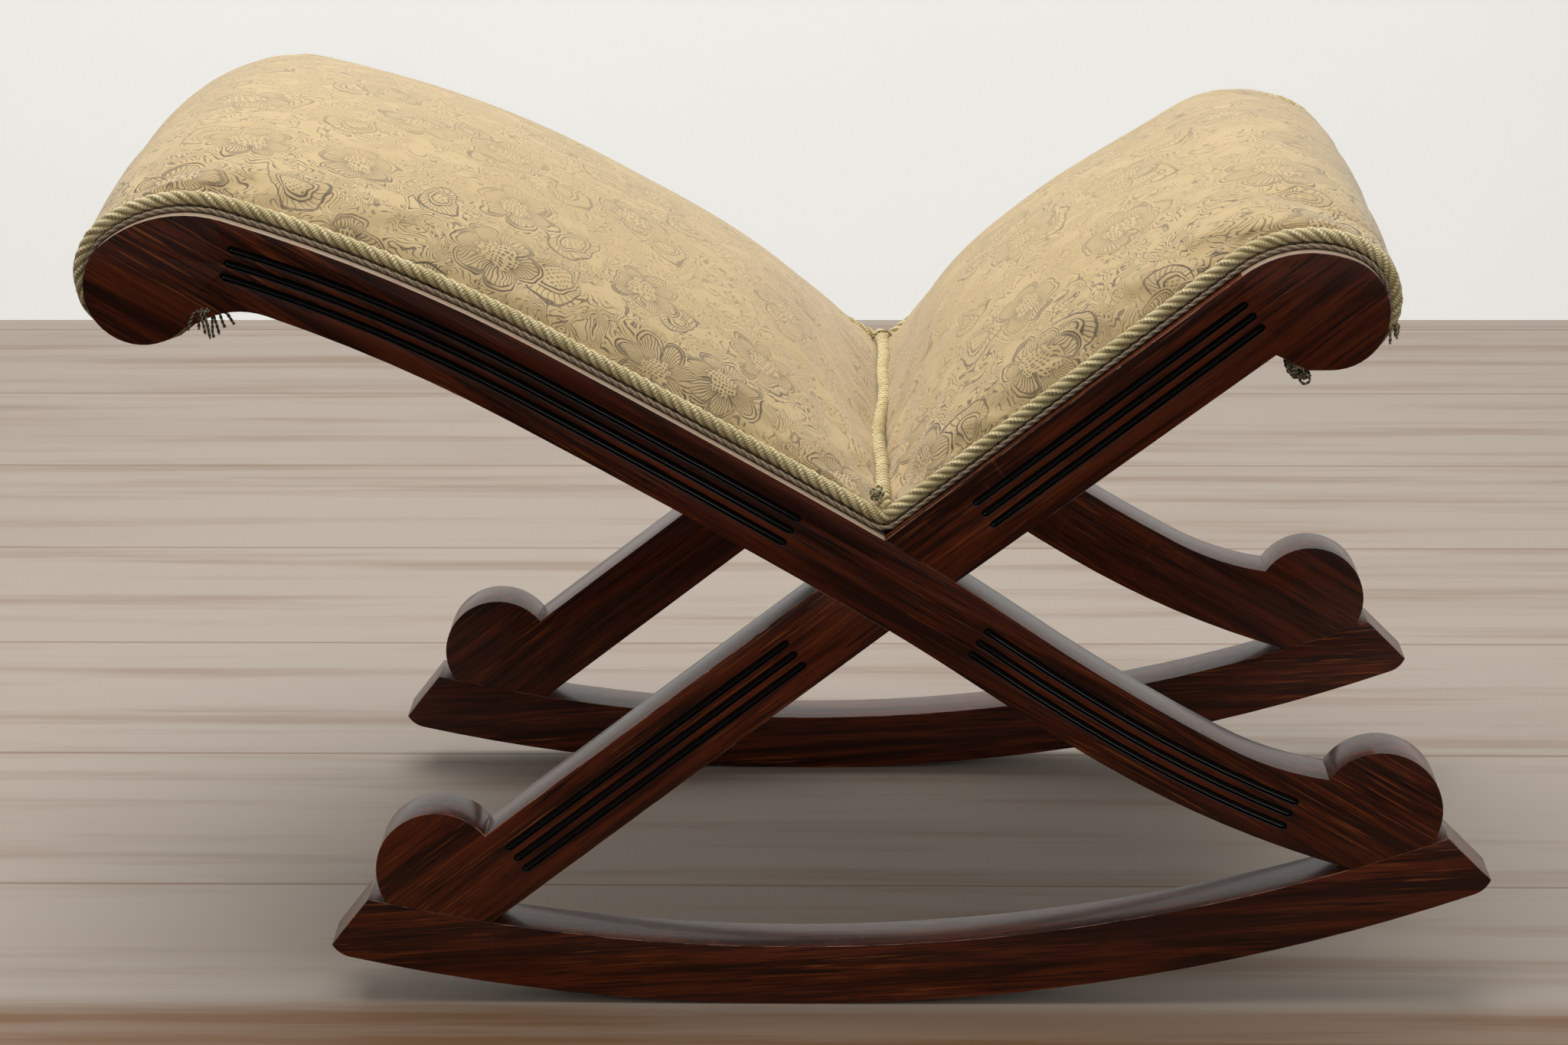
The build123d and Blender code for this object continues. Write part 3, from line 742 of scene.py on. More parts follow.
def flower_lines(group, place, dots):
    """Outlines, veins and dotted heart of a scattered flower, and how far out of it a point lies, in mm."""
    x, y, (turn, size, count), _ = cells_of(group, place, FLOWER_CELL, 0.6)
    radius, angle = polar(x, y)
    angle = angle + turn * FULL_TURN
    petals = (count * 3.0 + FEWEST_PETALS).math("FLOOR")
    lobe = (angle * petals * 0.5).math("COSINE").math("ABSOLUTE")
    edge = lobe.math("POWER", 0.5) * PETAL_REACH + (size * 4.0 + FLOWER_HEART)
    outside = radius - edge
    ring = outside.line(0.8)
    inner = (outside + 2.4).line(0.5)
    tips = (angle * 3.0).math("SINE").smooth(0.1, 0.7)
    shade = outside.smooth(-4.4, -2.4) * outside.math("LESS_THAN", -0.9) * tips
    between = (lobe * radius / petals * 2.0).line(0.55)
    veins = ((angle * VEINS).math("SINE") * radius / VEINS).line(0.4)
    petal = radius.math("GREATER_THAN", edge * 0.45) * outside.math("LESS_THAN", -2.4)
    spots = dots * radius.math("LESS_THAN", edge * 0.5)
    lines = ring.math("MAXIMUM", inner).math("MAXIMUM", shade * 0.75)
    inside = (between.math("MAXIMUM", veins * 0.8) * petal).math("MAXIMUM", spots * 0.9)
    return lines.math("MAXIMUM", inside), outside


def paisley_lines(group, place):
    """Nested bent drops with ribbed rims, and how far out of them a point lies, in mm."""
    x, y, (turn, size, bend), _ = cells_of(group, place, DROP_CELL, 0.8)
    radius, angle = polar(x, y)
    angle = angle + turn * FULL_TURN
    along, across = radius * angle.math("COSINE"), radius * angle.math("SINE")
    across = across + along * along * (bend * 0.06 - 0.03)
    taper = along * -0.045 + 1.0
    level = ((along * 0.72) * (along * 0.72) + (across / taper) * (across / taper)).math("SQRT")
    outside = level - (size * 5.0 + DROP_SIZE)
    rings = outside.line(0.75).math("MAXIMUM", (outside + DROP_RIM).line(0.5))
    rings = rings.math("MAXIMUM", (outside + 6.0).line(0.6))
    ribs = ((angle * RIBS + level * 0.8).math("SINE") * radius / RIBS).line(0.42)
    rim = outside.math("LESS_THAN", 0.0) * outside.math("GREATER_THAN", -DROP_RIM)
    dotted = ((x * 1.6).math("SINE") * (y * 1.9).math("SINE")).smooth(0.25, 0.5)
    heart = dotted * outside.math("LESS_THAN", -6.6)
    return rings.math("MAXIMUM", ribs * rim * 0.8).math("MAXIMUM", heart * 0.7), outside


def tooled_pattern_group():
    """Flowers, drops, sprays and seeds in ink over a mottled cloth; the ink is stronger near the front edge,
    partly less faded and partly painted shade.
    """
    group, given, result = finish_group("tooled_pattern", ("Cloth", "Pale", "Ink"), ("Color", "Height"))
    flat = stretch(group, given["Vector"], (MM, MM, MM))
    wander = add_node(group, "ShaderNodeTexNoise", {"Vector": flat, "Scale": 0.045, "Detail": 2.0})
    place = vector_math(group, "ADD", flat, stretch(group, wander.outputs["Color"], WANDER))
    dots = 1.0 - cells_of(group, place, DOT_CELL, 0.3)[3].smooth(0.55, 0.95)
    flower, from_flower = flower_lines(group, place, dots)
    paisley, from_paisley = paisley_lines(group, place)
    free = from_flower.math("GREATER_THAN", 1.8)
    ink = flower.math("MAXIMUM", paisley * free * from_paisley.math("LESS_THAN", 0.5))
    swirl = noise_field(group, place, 0.038, 1.5, 0.5, 1.3)
    spray = from_flower.math("MINIMUM", from_paisley) * 0.55 + swirl * 44.0
    thickness = noise_field(group, place, 0.14, 1.0) * 0.5
    echo = 1.0 - (spray * 1.3).math("SINE").math("ABSOLUTE").smooth(thickness, thickness + 0.3)
    leafy = noise_field(group, place, 0.05, 1.0).smooth(0.36, 0.44)
    open_ground = free * from_paisley.math("GREATER_THAN", 0.5)
    ink = ink.math("MAXIMUM", echo * open_ground * leafy * 0.9)
    seeds = noise_field(group, stretch(group, place, (1.0, 1.7, 1.0)), 0.28, 1.0, 0.5, 1.2).smooth(0.66, 0.71)
    ink = ink.math("MAXIMUM", seeds * open_ground * 0.9)
    worn = noise_field(group, flat, 0.03, 3.0, 0.65).smooth(0.32, 0.58)
    broken = noise_field(group, flat, 0.75, 2.0, 0.6).smooth(0.28, 0.5)
    # Stronger ink near the cover's front edge: partly less fading there, partly painted shade on the front of
    # the crown.
    front = parts_of(group, flat)[1].smooth(105.0, 30.0)
    ink = ink * (worn * 0.4 + 0.6) * (broken * 0.4 + 0.6) * (front * 0.36 + 0.64)
    tone = noise_field(group, flat, 0.03, 4.0, 0.6).smooth(0.3, 0.7)
    nap = noise_field(group, flat, 1.6, 3.0, 0.7)
    colour = blend_colours(group, tone * 0.2 + nap * 0.7, given["Cloth"], given["Pale"])
    feed(group, result["Color"], blend_colours(group, ink * 0.94, colour, given["Ink"]))
    feed(group, result["Height"], nap * 0.35 - ink * 0.5)
    return group


TOOLED_PATTERN = tooled_pattern_group()
CLOTH_TAN = (0.465, 0.33, 0.153, 1.0)
CLOTH_PALE = (0.63, 0.478, 0.252, 1.0)
CLOTH_INK = (0.085, 0.06, 0.04, 1.0)


def cover_fabric():
    """The pattern on a rough cloth with a little sheen, laid out by the UV map."""
    soft = {"Roughness": 0.86, "Sheen_Weight": 0.25, "Sheen_Roughness": 0.45}
    material, tree, shader = new_material("cover_fabric", **soft)
    place = add_node(tree, "ShaderNodeTexCoord").outputs["UV"]
    colours = {"Cloth": CLOTH_TAN, "Pale": CLOTH_PALE, "Ink": CLOTH_INK}
    pattern = use_group(tree, TOOLED_PATTERN, {"Vector": place, **colours})
    dress(tree, shader, pattern["Color"], bump=(pattern["Height"], 0.35, 0.0004))
    return material


FABRIC = cover_fabric()
print("groups:", TOOLED_PATTERN.name)

# %% [markdown]
# ## One closed cushion
#
# The top and the underside are two sheets of the same grid, joined by a wall of quads round their rims, so
# that each cushion is one closed mesh. The underside thins with the top where the cover dies out under the
# scroll. The UV map is the flat cloth in metres: along the arm, and across over the crown.

# %% Closed cushion
RIM_STEP = 0.0002
THINNEST = 0.5


def underside_of():
    """Depths and heights of the underside, whose edges reach down to the beams."""
    wall = COVER_HALF - COVER_THICKNESS
    edge = [COVER_HALF, wall, wall - RIM_STEP]
    inside = np.linspace(2 * RIM_STEP - wall, wall - 2 * RIM_STEP, COLUMNS - 6)
    depth = np.concatenate([[-place for place in edge], inside, edge[::-1]])
    height = np.full(COLUMNS, UNDERSIDE)
    height[[0, 1, -2, -1]] = EDGE_FOOT
    return depth, height


def read_values(items, label, width=1, kind=float):
    """One value or vector of every point or corner of a mesh, as an array."""
    values = np.zeros(len(items) * width, kind)
    items.foreach_get(label, values)
    return values.reshape(-1, width) if width > 1 else values


def cushion_mesh(name, arm, crown, shift):
    """A closed cushion with its UV map; also the grid of its top points, and the points to hold."""
    station = cushion_rows(arm, crown)
    depth, height = top_points(arm, crown, station)
    under_depth, under_height = underside_of()
    start = on_mitre(arm, under_height)
    under_station = start + (station - station[:1]) / (arm["length"] - station[:1]) * (arm["length"] - start)
    top = place_on(arm, station, height, depth).reshape(-1, 3)
    thin = np.minimum(1.0, THINNEST * height.max(axis=1, keepdims=True) / UNDERSIDE)
    under = place_on(arm, under_station, under_height * thin, under_depth).reshape(-1, 3)
    cell = np.arange(station.size).reshape(station.shape)
    below = cell + station.size
    quads = [cell[:-1, :-1], cell[1:, :-1], cell[1:, 1:], cell[:-1, 1:]]
    faces = np.stack(quads, -1).reshape(-1, 4)
    ring = np.concatenate([cell[0, :-1], cell[:-1, -1], cell[-1, :0:-1], cell[:0:-1, 0]])
    after = np.roll(ring, -1)
    wall = np.stack([ring, after, after + station.size, ring + station.size], -1)
    sheets = [faces, faces[:, ::-1] + station.size, wall]
    piece = mesh_object(name, np.concatenate([top, under]), np.concatenate(sheets).tolist(), FABRIC)
    widest = len(station) // 3
    spread = np.cumsum(np.hypot(np.diff(depth[widest]), np.diff(height[widest])))
    spread = np.concatenate([[0], spread])
    flat = np.stack([station + shift, np.broadcast_to(spread, station.shape)], -1).reshape(-1, 2)
    layer = piece.data.uv_layers.new(name="UVMap")
    corners = read_values(piece.data.loops, "vertex_index", kind=int)
    layer.data.foreach_set("uv", np.concatenate([flat, flat])[corners].ravel())
    held = np.concatenate([below.ravel(), cell[0], cell[-1], cell[:, 0], cell[:, -1]])
    mesh = bmesh.new()
    mesh.from_mesh(piece.data)
    bmesh.ops.recalc_face_normals(mesh, faces=mesh.faces)
    mesh.to_mesh(piece.data)
    mesh.free()
    return piece, cell, held


ROWS = [len(cushion_rows(*plan)) for plan in ((LONG_ARM, LONG_CROWN), (SHORT_ARM, SHORT_CROWN))]
print("cushion rows:", ROWS)

# %% [markdown]
# ## Swelling
#
# Stuffing presses the cover outwards everywhere. A short cloth simulation with air pressure gives the top
# that shape, while the underside and the edges are held. It would blow the cushion up too far, so only a
# small part of each point's way is kept, and less and less of it towards the end under the scroll.

# %% Swell a cushion
PRESSURE = 3.5
CLOTH_QUALITY = 6
CLOTH_SHRINK = -0.02
SWELL_FRAMES = 20
SWELL_LIMIT = 0.003
STILL_END = 0.2


def points_of(mesh):
    """The places of a mesh's points."""
    return read_values(mesh.vertices, "co", 3)


def swell(piece, held, ease):
    """Blow a cushion up between its held points, each by no more than the limit times its ease."""
    start = points_of(piece.data)
    group = piece.vertex_groups.new(name="held")
    group.add([int(index) for index in held], 1.0, "REPLACE")
    cloth = piece.modifiers.new("cloth", "CLOTH")
    cloth.settings.vertex_group_mass = "held"
    cloth.settings.use_pressure = True
    cloth.settings.uniform_pressure_force = PRESSURE
    cloth.settings.effector_weights.gravity = 0.0
    cloth.settings.shrink_min = CLOTH_SHRINK
    cloth.settings.quality = CLOTH_QUALITY
    scene = bpy.context.scene
    for number in range(1, SWELL_FRAMES + 1):
        scene.frame_set(number)
    soft = piece.evaluated_get(bpy.context.evaluated_depsgraph_get()).data
    move = points_of(soft) - start
    distance = np.linalg.norm(move, axis=1, keepdims=True)
    move *= np.minimum(1.0, SWELL_LIMIT / np.maximum(distance, 1e-9)) * ease[:, None]
    piece.modifiers.remove(cloth)
    scene.frame_set(1)
    piece.data.vertices.foreach_set("co", (start + move).ravel())
    piece.data.update()
    print(piece.name, "pushed by up to", round(float(distance.max()) * 1000, 1), "mm before the limit")


print("swelling: at most", SWELL_LIMIT, "m")

# %% [markdown]
# ## Creases
#
# The cover is not an even balloon. It is pulled into the near end of the valley, from where soft pleats
# fan out, and it is pinched in a few places beside the cord. Each crease is a line on the flat cover, in
# metres: where it starts, where it ends, how wide it is and how deep. A crease fades out towards its far
# end. They are pressed in after the simulation, because cloth this coarse wouldn't fold at their size.

# %% Creases and pinches
LONG_CREASES = [
    ((0.012, 0.040), (0.115, 0.150), 0.0080, 0.0044),
    ((0.010, 0.085), (0.085, 0.175), 0.0075, 0.0036),
    ((0.012, 0.140), (0.120, 0.245), 0.0095, 0.0030),
    ((0.014, 0.020), (0.060, 0.060), 0.0055, 0.0018),
    ((0.331, 0.003), (0.338, 0.034), 0.0045, 0.0034),
    ((0.353, 0.003), (0.350, 0.030), 0.0045, 0.0034),
    ((0.342, 0.012), (0.310, 0.060), 0.0060, 0.0016),
]
SHORT_CREASES = [
    ((0.012, 0.035), (0.100, 0.115), 0.0080, 0.0044),
    ((0.010, 0.080), (0.080, 0.170), 0.0080, 0.0038),
    ((0.012, 0.130), (0.110, 0.230), 0.0095, 0.0030),
    ((0.225, 0.100), (0.250, 0.330), 0.0130, 0.0018),
    ((0.209, 0.003), (0.204, 0.030), 0.0050, 0.0032),
]


CREASE_START = 12
BANK_WIDTH = 2.2
BANK_HEIGHT = 0.45


def press_creases(piece, creases, shift):
    """Push the top of a cushion in along its creases."""
    points = points_of(piece.data)
    normals = np.array([vertex.normal for vertex in piece.data.vertices])
    corners = read_values(piece.data.loops, "vertex_index", kind=int)
    place = np.zeros((len(points), 2))
    place[corners] = read_values(piece.data.uv_layers[0].data, "uv", 2) - (shift, 0.0)
    push = np.zeros(len(points))
    for start, end, width, depth in creases:
        start, run = np.array(start), np.array(end) - np.array(start)
        along = ((place - start) @ run) / (run @ run)
        aside = (place - start) @ np.array([-run[1], run[0]]) / np.linalg.norm(run)
        fade = np.clip(1 - along, 0, 1) * np.clip(1 + along * CREASE_START, 0, 1) * (along < 1)
        groove = np.exp(-((aside / width) ** 2))
        beside = np.exp(-((aside / width / BANK_WIDTH) ** 2))
        push += depth * fade * (BANK_HEIGHT * beside - groove)
    top = np.arange(len(points)) < len(points) // 2
    points[top] += normals[top] * push[top, None]
    piece.data.vertices.foreach_set("co", points.ravel())
    piece.data.update()


print("creases:", len(LONG_CREASES), "long,", len(SHORT_CREASES), "short")

# %% [markdown]
# ## The two cushions
#
# Each cushion is made, swelled, creased and rounded by one level of subdivision. The exact model knows the
# cover and the stuffing as two solids, and the cushion takes the place of both. The short cushion's UV map
# is shifted, so that the two covers are cut from different parts of the cloth.

# %% Make the cushions
CUSHIONS = {
    "long": {"arm": LONG_ARM, "crown": LONG_CROWN, "shift": 0.0, "creases": LONG_CREASES},
    "short": {"arm": SHORT_ARM, "crown": SHORT_CROWN, "shift": 1.3, "creases": SHORT_CREASES},
}

for name, plan in CUSHIONS.items():
    piece, cell, held = cushion_mesh(f"cushion_{name}", plan["arm"], plan["crown"], plan["shift"])
    to_end = 1 - np.arange(len(cell)) / (len(cell) - 1)
    ease = np.tile(np.repeat(np.clip(to_end / STILL_END, 0, 1), cell.shape[1]), 2)
    swell(piece, held, ease)
    press_creases(piece, plan["creases"], plan["shift"])
    rounder = piece.modifiers.new("rounder", "SUBSURF")
    rounder.levels = rounder.render_levels = 1
    for polygon in piece.data.polygons:
        polygon.use_smooth = True
    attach(piece, "root")
    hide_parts(f"cover_{name}", f"padding_{name}")
    print(piece.name, len(piece.data.polygons), "faces")

# %% [markdown]
# ## Twisted cord
#
# A cord is a few strands laid round each other: four at the cushions' edges, three in the valley, and two
# in the lip and in loose yarn. Geometry Nodes twist them: the route becomes a curve, the
# curve is copied once for each strand, every copy is moved off the route by an angle that grows along
# it, and a small circle is swept along each. The places along and around a strand are stored as
# attributes, so that the material can draw the yarns.

# %% Cord nodes
CORD_INPUTS = {
    "Strands": ("Int", 4), "Lay Radius": ("Float", 0.0016), "Strand Radius": ("Float", 0.002),
    "Pitch": ("Float", 0.02), "Step": ("Float", 0.0012), "Sides": ("Int", 8), "Seed": ("Int", 1),
    "Waver": ("Float", 0.0002), "Material": ("Material", None),
}


def scaled(group, vector, factor):
    """A vector times a number."""
    return add_node(group, "ShaderNodeVectorMath", {0: vector, "Scale": factor}, operation="SCALE").outputs[0]


def twisted_cord_group():
    """Strands twisted along the edges of a mesh."""
    inputs = {"Geometry": ("Geometry", None), **CORD_INPUTS}
    group, given, result = new_group("twisted_cord", inputs, {"Geometry": "Geometry"}, "GeometryNodeTree")
    curve = add_node(group, "GeometryNodeMeshToCurve", {"Mesh": given["Geometry"]}).outputs[0]
    spacing = {"Curve": curve, "Length": given["Step"]}
    even = add_node(group, "GeometryNodeResampleCurve", spacing, mode="LENGTH").outputs[0]
    copies = add_node(group, "GeometryNodeDuplicateElements", {"Geometry": even}, domain="SPLINE")
    feed(group, copies.inputs["Amount"], given["Strands"])
    index = Field(group, copies.outputs["Duplicate Index"])
    along = Field(group, add_node(group, "GeometryNodeSplineParameter").outputs["Length"])
    angle = (along / given["Pitch"] + index / given["Strands"]) * (2 * math.pi)
    normal = add_node(group, "GeometryNodeInputNormal").outputs["Normal"]
    tangent = add_node(group, "GeometryNodeInputTangent").outputs[0]
    cross = vector_math(group, "CROSS_PRODUCT", tangent, normal)
    first = scaled(group, normal, angle.math("COSINE"))
    second = scaled(group, cross, angle.math("SINE"))
    outward = vector_math(group, "ADD", first, second)
    kept = copies.outputs["Geometry"]
    stored = (("outward", outward, "FLOAT_VECTOR"), ("along", along, "FLOAT"), ("strand", index, "FLOAT"))
    for label, value, kind in stored:
        given_name = {"Geometry": kept, "Name": label}
        store = add_node(group, "GeometryNodeStoreNamedAttribute", given_name, data_type=kind)
        feed(group, store.inputs["Value"], value)
        kept = store.outputs[0]
    named = add_node(group, "GeometryNodeInputNamedAttribute", {"Name": "outward"}, data_type="FLOAT_VECTOR")
    read = named.outputs[0]
    noise = add_node(group, "ShaderNodeTexNoise", {"Scale": 160.0, "Detail": 1.0}, noise_dimensions="4D")
    feed(group, noise.inputs["W"], index + given["Seed"])
    spread = (Field(group, noise.outputs[0]) - 0.5) * given["Waver"] * 4.0 + given["Lay Radius"]
    offset = {"Geometry": kept, "Offset": scaled(group, read, spread)}
    moved = add_node(group, "GeometryNodeSetPosition", offset).outputs[0]
    inward = {"Curve": moved, "Normal": scaled(group, read, -1.0)}
    facing = add_node(group, "GeometryNodeSetCurveNormal", inward, mode="FREE")
    circle = add_node(group, "GeometryNodeCurvePrimitiveCircle", {"Resolution": given["Sides"]})
    feed(group, circle.inputs["Radius"], given["Strand Radius"])
    around = add_node(group, "GeometryNodeSplineParameter").outputs["Factor"]
    named = {"Geometry": circle.outputs[0], "Name": "around", "Value": around}
    ring = add_node(group, "GeometryNodeStoreNamedAttribute", named)
    swept = {"Curve": facing.outputs[0], "Profile Curve": ring.outputs[0], "Fill Caps": True}
    tube = add_node(group, "GeometryNodeCurveToMesh", swept)
    real = add_node(group, "GeometryNodeRealizeInstances", {"Geometry": tube.outputs[0]}).outputs[0]
    smooth = add_node(group, "GeometryNodeSetShadeSmooth", {"Geometry": real}).outputs[0]
    coloured = {"Geometry": smooth, "Material": given["Material"]}
    feed(group, result["Geometry"], add_node(group, "GeometryNodeSetMaterial", coloured).outputs[0])
    return group


TWISTED_CORD = twisted_cord_group()
print("groups:", TWISTED_CORD.name)

# %% [markdown]
# ## Yarn
#
# Every other strand of the real cord is wrapped with a fine thread, and the ones between are rough. The
# attributes that the twist stored say which strand a point is on and where, so waves along and around it
# draw the threads. Shade is painted dark where a strand faces the cord's middle, and a highlight is
# painted pale on its outer side.

# %% Cord material
THREADS = 1000.0
PLAITS = 330.0
STRAND_PLACES = ("Along", "Around", "Strand")
# Each cord's three tones: painted shade between the strands, the yarn's own colour, and a painted highlight.
CORD_COLOURS = ((0.05, 0.032, 0.010, 1.0), (0.38, 0.29, 0.10, 1.0), (0.90, 0.77, 0.46, 1.0))
LIP_COLOURS = ((0.16, 0.105, 0.06, 1.0), (0.30, 0.22, 0.14, 1.0), (0.46, 0.36, 0.24, 1.0))
STRAY_COLOURS = ((0.025, 0.018, 0.008, 1.0), (0.13, 0.10, 0.042, 1.0), (0.40, 0.33, 0.17, 1.0))


def cord_yarn_group():
    """Every other strand is wrapped with a fine thread; the others are rough and plaited."""
    colours, results = ("Painted Shade", "Base", "Pale"), ("Color", "Height")
    group, given, result = finish_group("cord_yarn", colours, results, STRAND_PLACES)
    along, around, strand = (Field(group, given[label]) for label in STRAND_PLACES)
    kind = strand.math("MODULO", 2.0)
    wrapped = ((along * THREADS + around * 2.0) * FULL_TURN).math("SINE") * 0.5 + 0.5
    left_hand = ((along * PLAITS + around * 2.0) * FULL_TURN).math("SINE")
    right_hand = ((along * PLAITS - around * 2.0) * FULL_TURN).math("SINE")
    tufts = noise_field(group, given["Vector"], 800.0, 2.0, 0.7)
    plaited = left_hand * right_hand * 0.6 + tufts * 1.3 - 0.15
    fuzz = noise_field(group, given["Vector"], 1500.0, 1.0)
    height = (wrapped * 0.5 + fuzz * 0.4) * (1.0 - kind) + plaited * kind
    # Painted shade where a strand faces the cord's middle, and a painted highlight on its outer side.
    outside = 1.0 - (around - 0.5).math("ABSOLUTE") * 2.0
    colour = blend_colours(group, outside.smooth(0.25, 0.65), given["Painted Shade"], given["Base"])
    painted_highlight = outside.smooth(0.5, 0.9) * (height * 0.9 + 0.3)
    shade = noise_field(group, given["Vector"], 70.0, 3.0).smooth(0.3, 0.7)
    feed(group, result["Color"], blend_colours(group, painted_highlight * (shade * 0.5 + 0.5), colour, given["Pale"]))
    feed(group, result["Height"], height)
    return group


CORD_YARN = cord_yarn_group()


def cord_material(name, shade_colour, base, highlight_colour):
    """Yarn in three tones: painted shade between the strands, its own colour on them, and a painted highlight
    where they catch the light.
    """
    material, tree, shader = new_material(name, Roughness=0.82, Sheen_Weight=0.2)
    values = {"Vector": object_vector(tree), "Painted Shade": shade_colour, "Base": base, "Pale": highlight_colour}
    for label in STRAND_PLACES:
        node = add_node(tree, "ShaderNodeAttribute", attribute_name=label.lower())
        values[label] = node.outputs["Fac"]
    yarn = use_group(tree, CORD_YARN, values)
    dress(tree, shader, yarn["Color"], bump=(yarn["Height"], 0.9, 0.0007))
    return material


CORD = cord_material("cord", *CORD_COLOURS)
LIP = cord_material("cord_lip", *LIP_COLOURS)
STRAY = cord_material("stray_yarn", *STRAY_COLOURS)
print("groups:", CORD_YARN.name)

# %% [markdown]
# ## Laying a cord
#
# Every cord is laid the same way: its route of points becomes a mesh of edges, the twist is put on it as a
# modifier, and the result is kept as a plain mesh. Each kind of cord is a set of values for the twist.

# %% Lay a cord along a route
TWIST_LABELS = ("Strands", "Lay Radius", "Strand Radius", "Pitch", "Step", "Sides")
EDGE_CORD = dict(zip(TWIST_LABELS, (4, 0.0018, 0.0020, 0.0245, 0.0011, 8)))
LIP_CORD = dict(zip(TWIST_LABELS, (2, 0.0004, 0.0010, 0.0110, 0.0008, 6)))
VALLEY_CORD = dict(zip(TWIST_LABELS, (3, 0.0020, 0.0019, 0.0150, 0.0007, 8)))
YARN = dict(zip(TWIST_LABELS, (2, 0.0004, 0.0005, 0.005, 0.0008, 6)))


def twist(name, routes, material, settings):
    """One piece from routes of points, each laid as a cord with the same settings."""
    values = {**settings, "Material": material}
    points, edges = [], []
    for route in routes:
        first = len(points)
        points += [tuple(point) for point in route]
        edges += [(index, index + 1) for index in range(first, len(points) - 1)]
    mesh = bpy.data.meshes.new(name + "_route")
    mesh.from_pydata(points, edges, [])
    route_object = add_object(name + "_route", mesh)
    layer = route_object.modifiers.new("twist", "NODES")
    layer.node_group = TWISTED_CORD
    for item in TWISTED_CORD.interface.items_tree:
        if item.in_out == "INPUT" and item.name in values:
            layer[item.identifier] = values[item.name]
    graph = bpy.context.evaluated_depsgraph_get()
    made = add_object(name, bpy.data.meshes.new_from_object(route_object.evaluated_get(graph)))
    bpy.data.objects.remove(route_object)
    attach(made, "root")
    print(name, len(made.data.polygons), "faces")
    return made


print("edge cord:", EDGE_CORD)

# %% [markdown]
# ## Edge cords
#
# The edge cord starts behind the long scroll, runs down the long arm, turns sharply in the valley and
# climbs the short arm. A thin stitched lip, by which such cord is sewn on, shows below it. The same pair
# runs along the back edge.

# %% Edge cords
LONG_CORD_END = 0.474
SHORT_CORD_END = 0.333
CORD_HEIGHT = 0.0068
CORD_DEPTH = 0.1918
LIP_HEIGHT = 0.0017
LIP_DEPTH = 0.1955
TURN_LENGTH = 0.008
CORD_STEP = 0.003
SINK_LENGTH = 0.06
SINK_SHARE = 0.75
CORNER_LIFT = 0.0006
CORD_TUCK = 0.003
LIP_TUCK = 0.004


def edge_route(depth, height, tuck):
    """Points of a cord that runs from the long scroll through the valley to the short scroll."""
    down = (LONG_ARM, LONG_CORD_END, np.arange(LONG_CORD_END, TURN_LENGTH, -CORD_STEP))
    up = (SHORT_ARM, SHORT_CORD_END, np.arange(TURN_LENGTH, SHORT_CORD_END, CORD_STEP))
    arms = []
    for arm, last, station in (down, up):
        sunk = np.clip((station - last) / SINK_LENGTH + 1, 0, 1) ** 2
        inside = depth - math.copysign(tuck, depth) * sunk
        arms.append(place_on(arm, station, height - SINK_SHARE * height * sunk, inside))
    corner = place_on(LONG_ARM, height * math.tan(LONG_SLOPE), height + CORNER_LIFT, depth)
    share = np.linspace(0, 1, 9)[1:-1, None]
    bend = (1 - share) ** 2 * arms[0][-1] + 2 * share * (1 - share) * corner + share**2 * arms[1][0]
    return np.concatenate([arms[0], bend, arms[1]])


for side, facing in (("front", -1), ("back", 1)):
    route = edge_route(facing * CORD_DEPTH, CORD_HEIGHT, CORD_TUCK)
    rope = twist(f"edge_cord_{side}", [route], CORD, EDGE_CORD)
    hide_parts(f"cord_long_{side}", f"cord_short_{side}")
    twist(f"cord_lip_{side}", [edge_route(facing * LIP_DEPTH, LIP_HEIGHT, LIP_TUCK)], LIP, LIP_CORD)

# %% [markdown]
# ## Valley cord
#
# A third cord lies in the crease where the cushions meet. It follows the same mitre as the cushions' first
# rows, a little higher, and sways slightly, as a cord laid by hand does. At both ends it dips to the edge
# cords.

# %% Valley cord
VALLEY_CORD_LIFT = 0.0052
VALLEY_CORD_FOOT = 0.0066
VALLEY_REACH = 0.1905
DIP_START = 0.178
DIP_LENGTH = 0.0125


def valley_route():
    """Points along the crease between the cushions, down into the front and the back end of the V."""
    depth, height = top_points(LONG_ARM, LONG_CROWN, cushion_rows(LONG_ARM, LONG_CROWN)[0])
    along = np.linspace(-VALLEY_REACH, VALLEY_REACH, 90)
    crease = np.interp(along, depth, height) + VALLEY_CORD_LIFT
    at_end = np.clip((np.abs(along) - DIP_START) / DIP_LENGTH, 0, 1) ** 2
    crease = crease + (VALLEY_CORD_FOOT - crease) * at_end
    sway = 0.0016 * np.sin(along * 21.0) + 0.0008 * np.sin(along * 47.0 + 1.0)
    base = place_on(LONG_ARM, crease * math.tan(LONG_SLOPE), crease, along)
    base[:, 0] += sway
    return base


rope = twist("valley_rope", [valley_route()], CORD, VALLEY_CORD)
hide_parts("valley_cord")

# %% [markdown]
# ## Loose ends
#
# At the notch under the long scroll hangs a small tassel of dark yarn, and the tip of the short scroll
# carries a knotted lump of it. The cord's own end on the short scroll is frayed. The valley cord ends in
# a small knot in front and in a loop behind. They are the same twist on thin routes, placed one by one and
# varied by one fixed row of random numbers.

# %% Loose ends
chance = np.random.default_rng(11)


def hanging_yarn(start, reach, drop, depth):
    """A yarn that leaves sideways and then falls."""
    share = np.linspace(0, 1, 14)
    x = start[0] + reach * share**0.6 + chance.normal(0, 0.0006) * np.sin(share * 5)
    y = start[1] - drop * share**1.4
    return in_elevation(x, y, depth + chance.normal(0, 0.0012) * share)


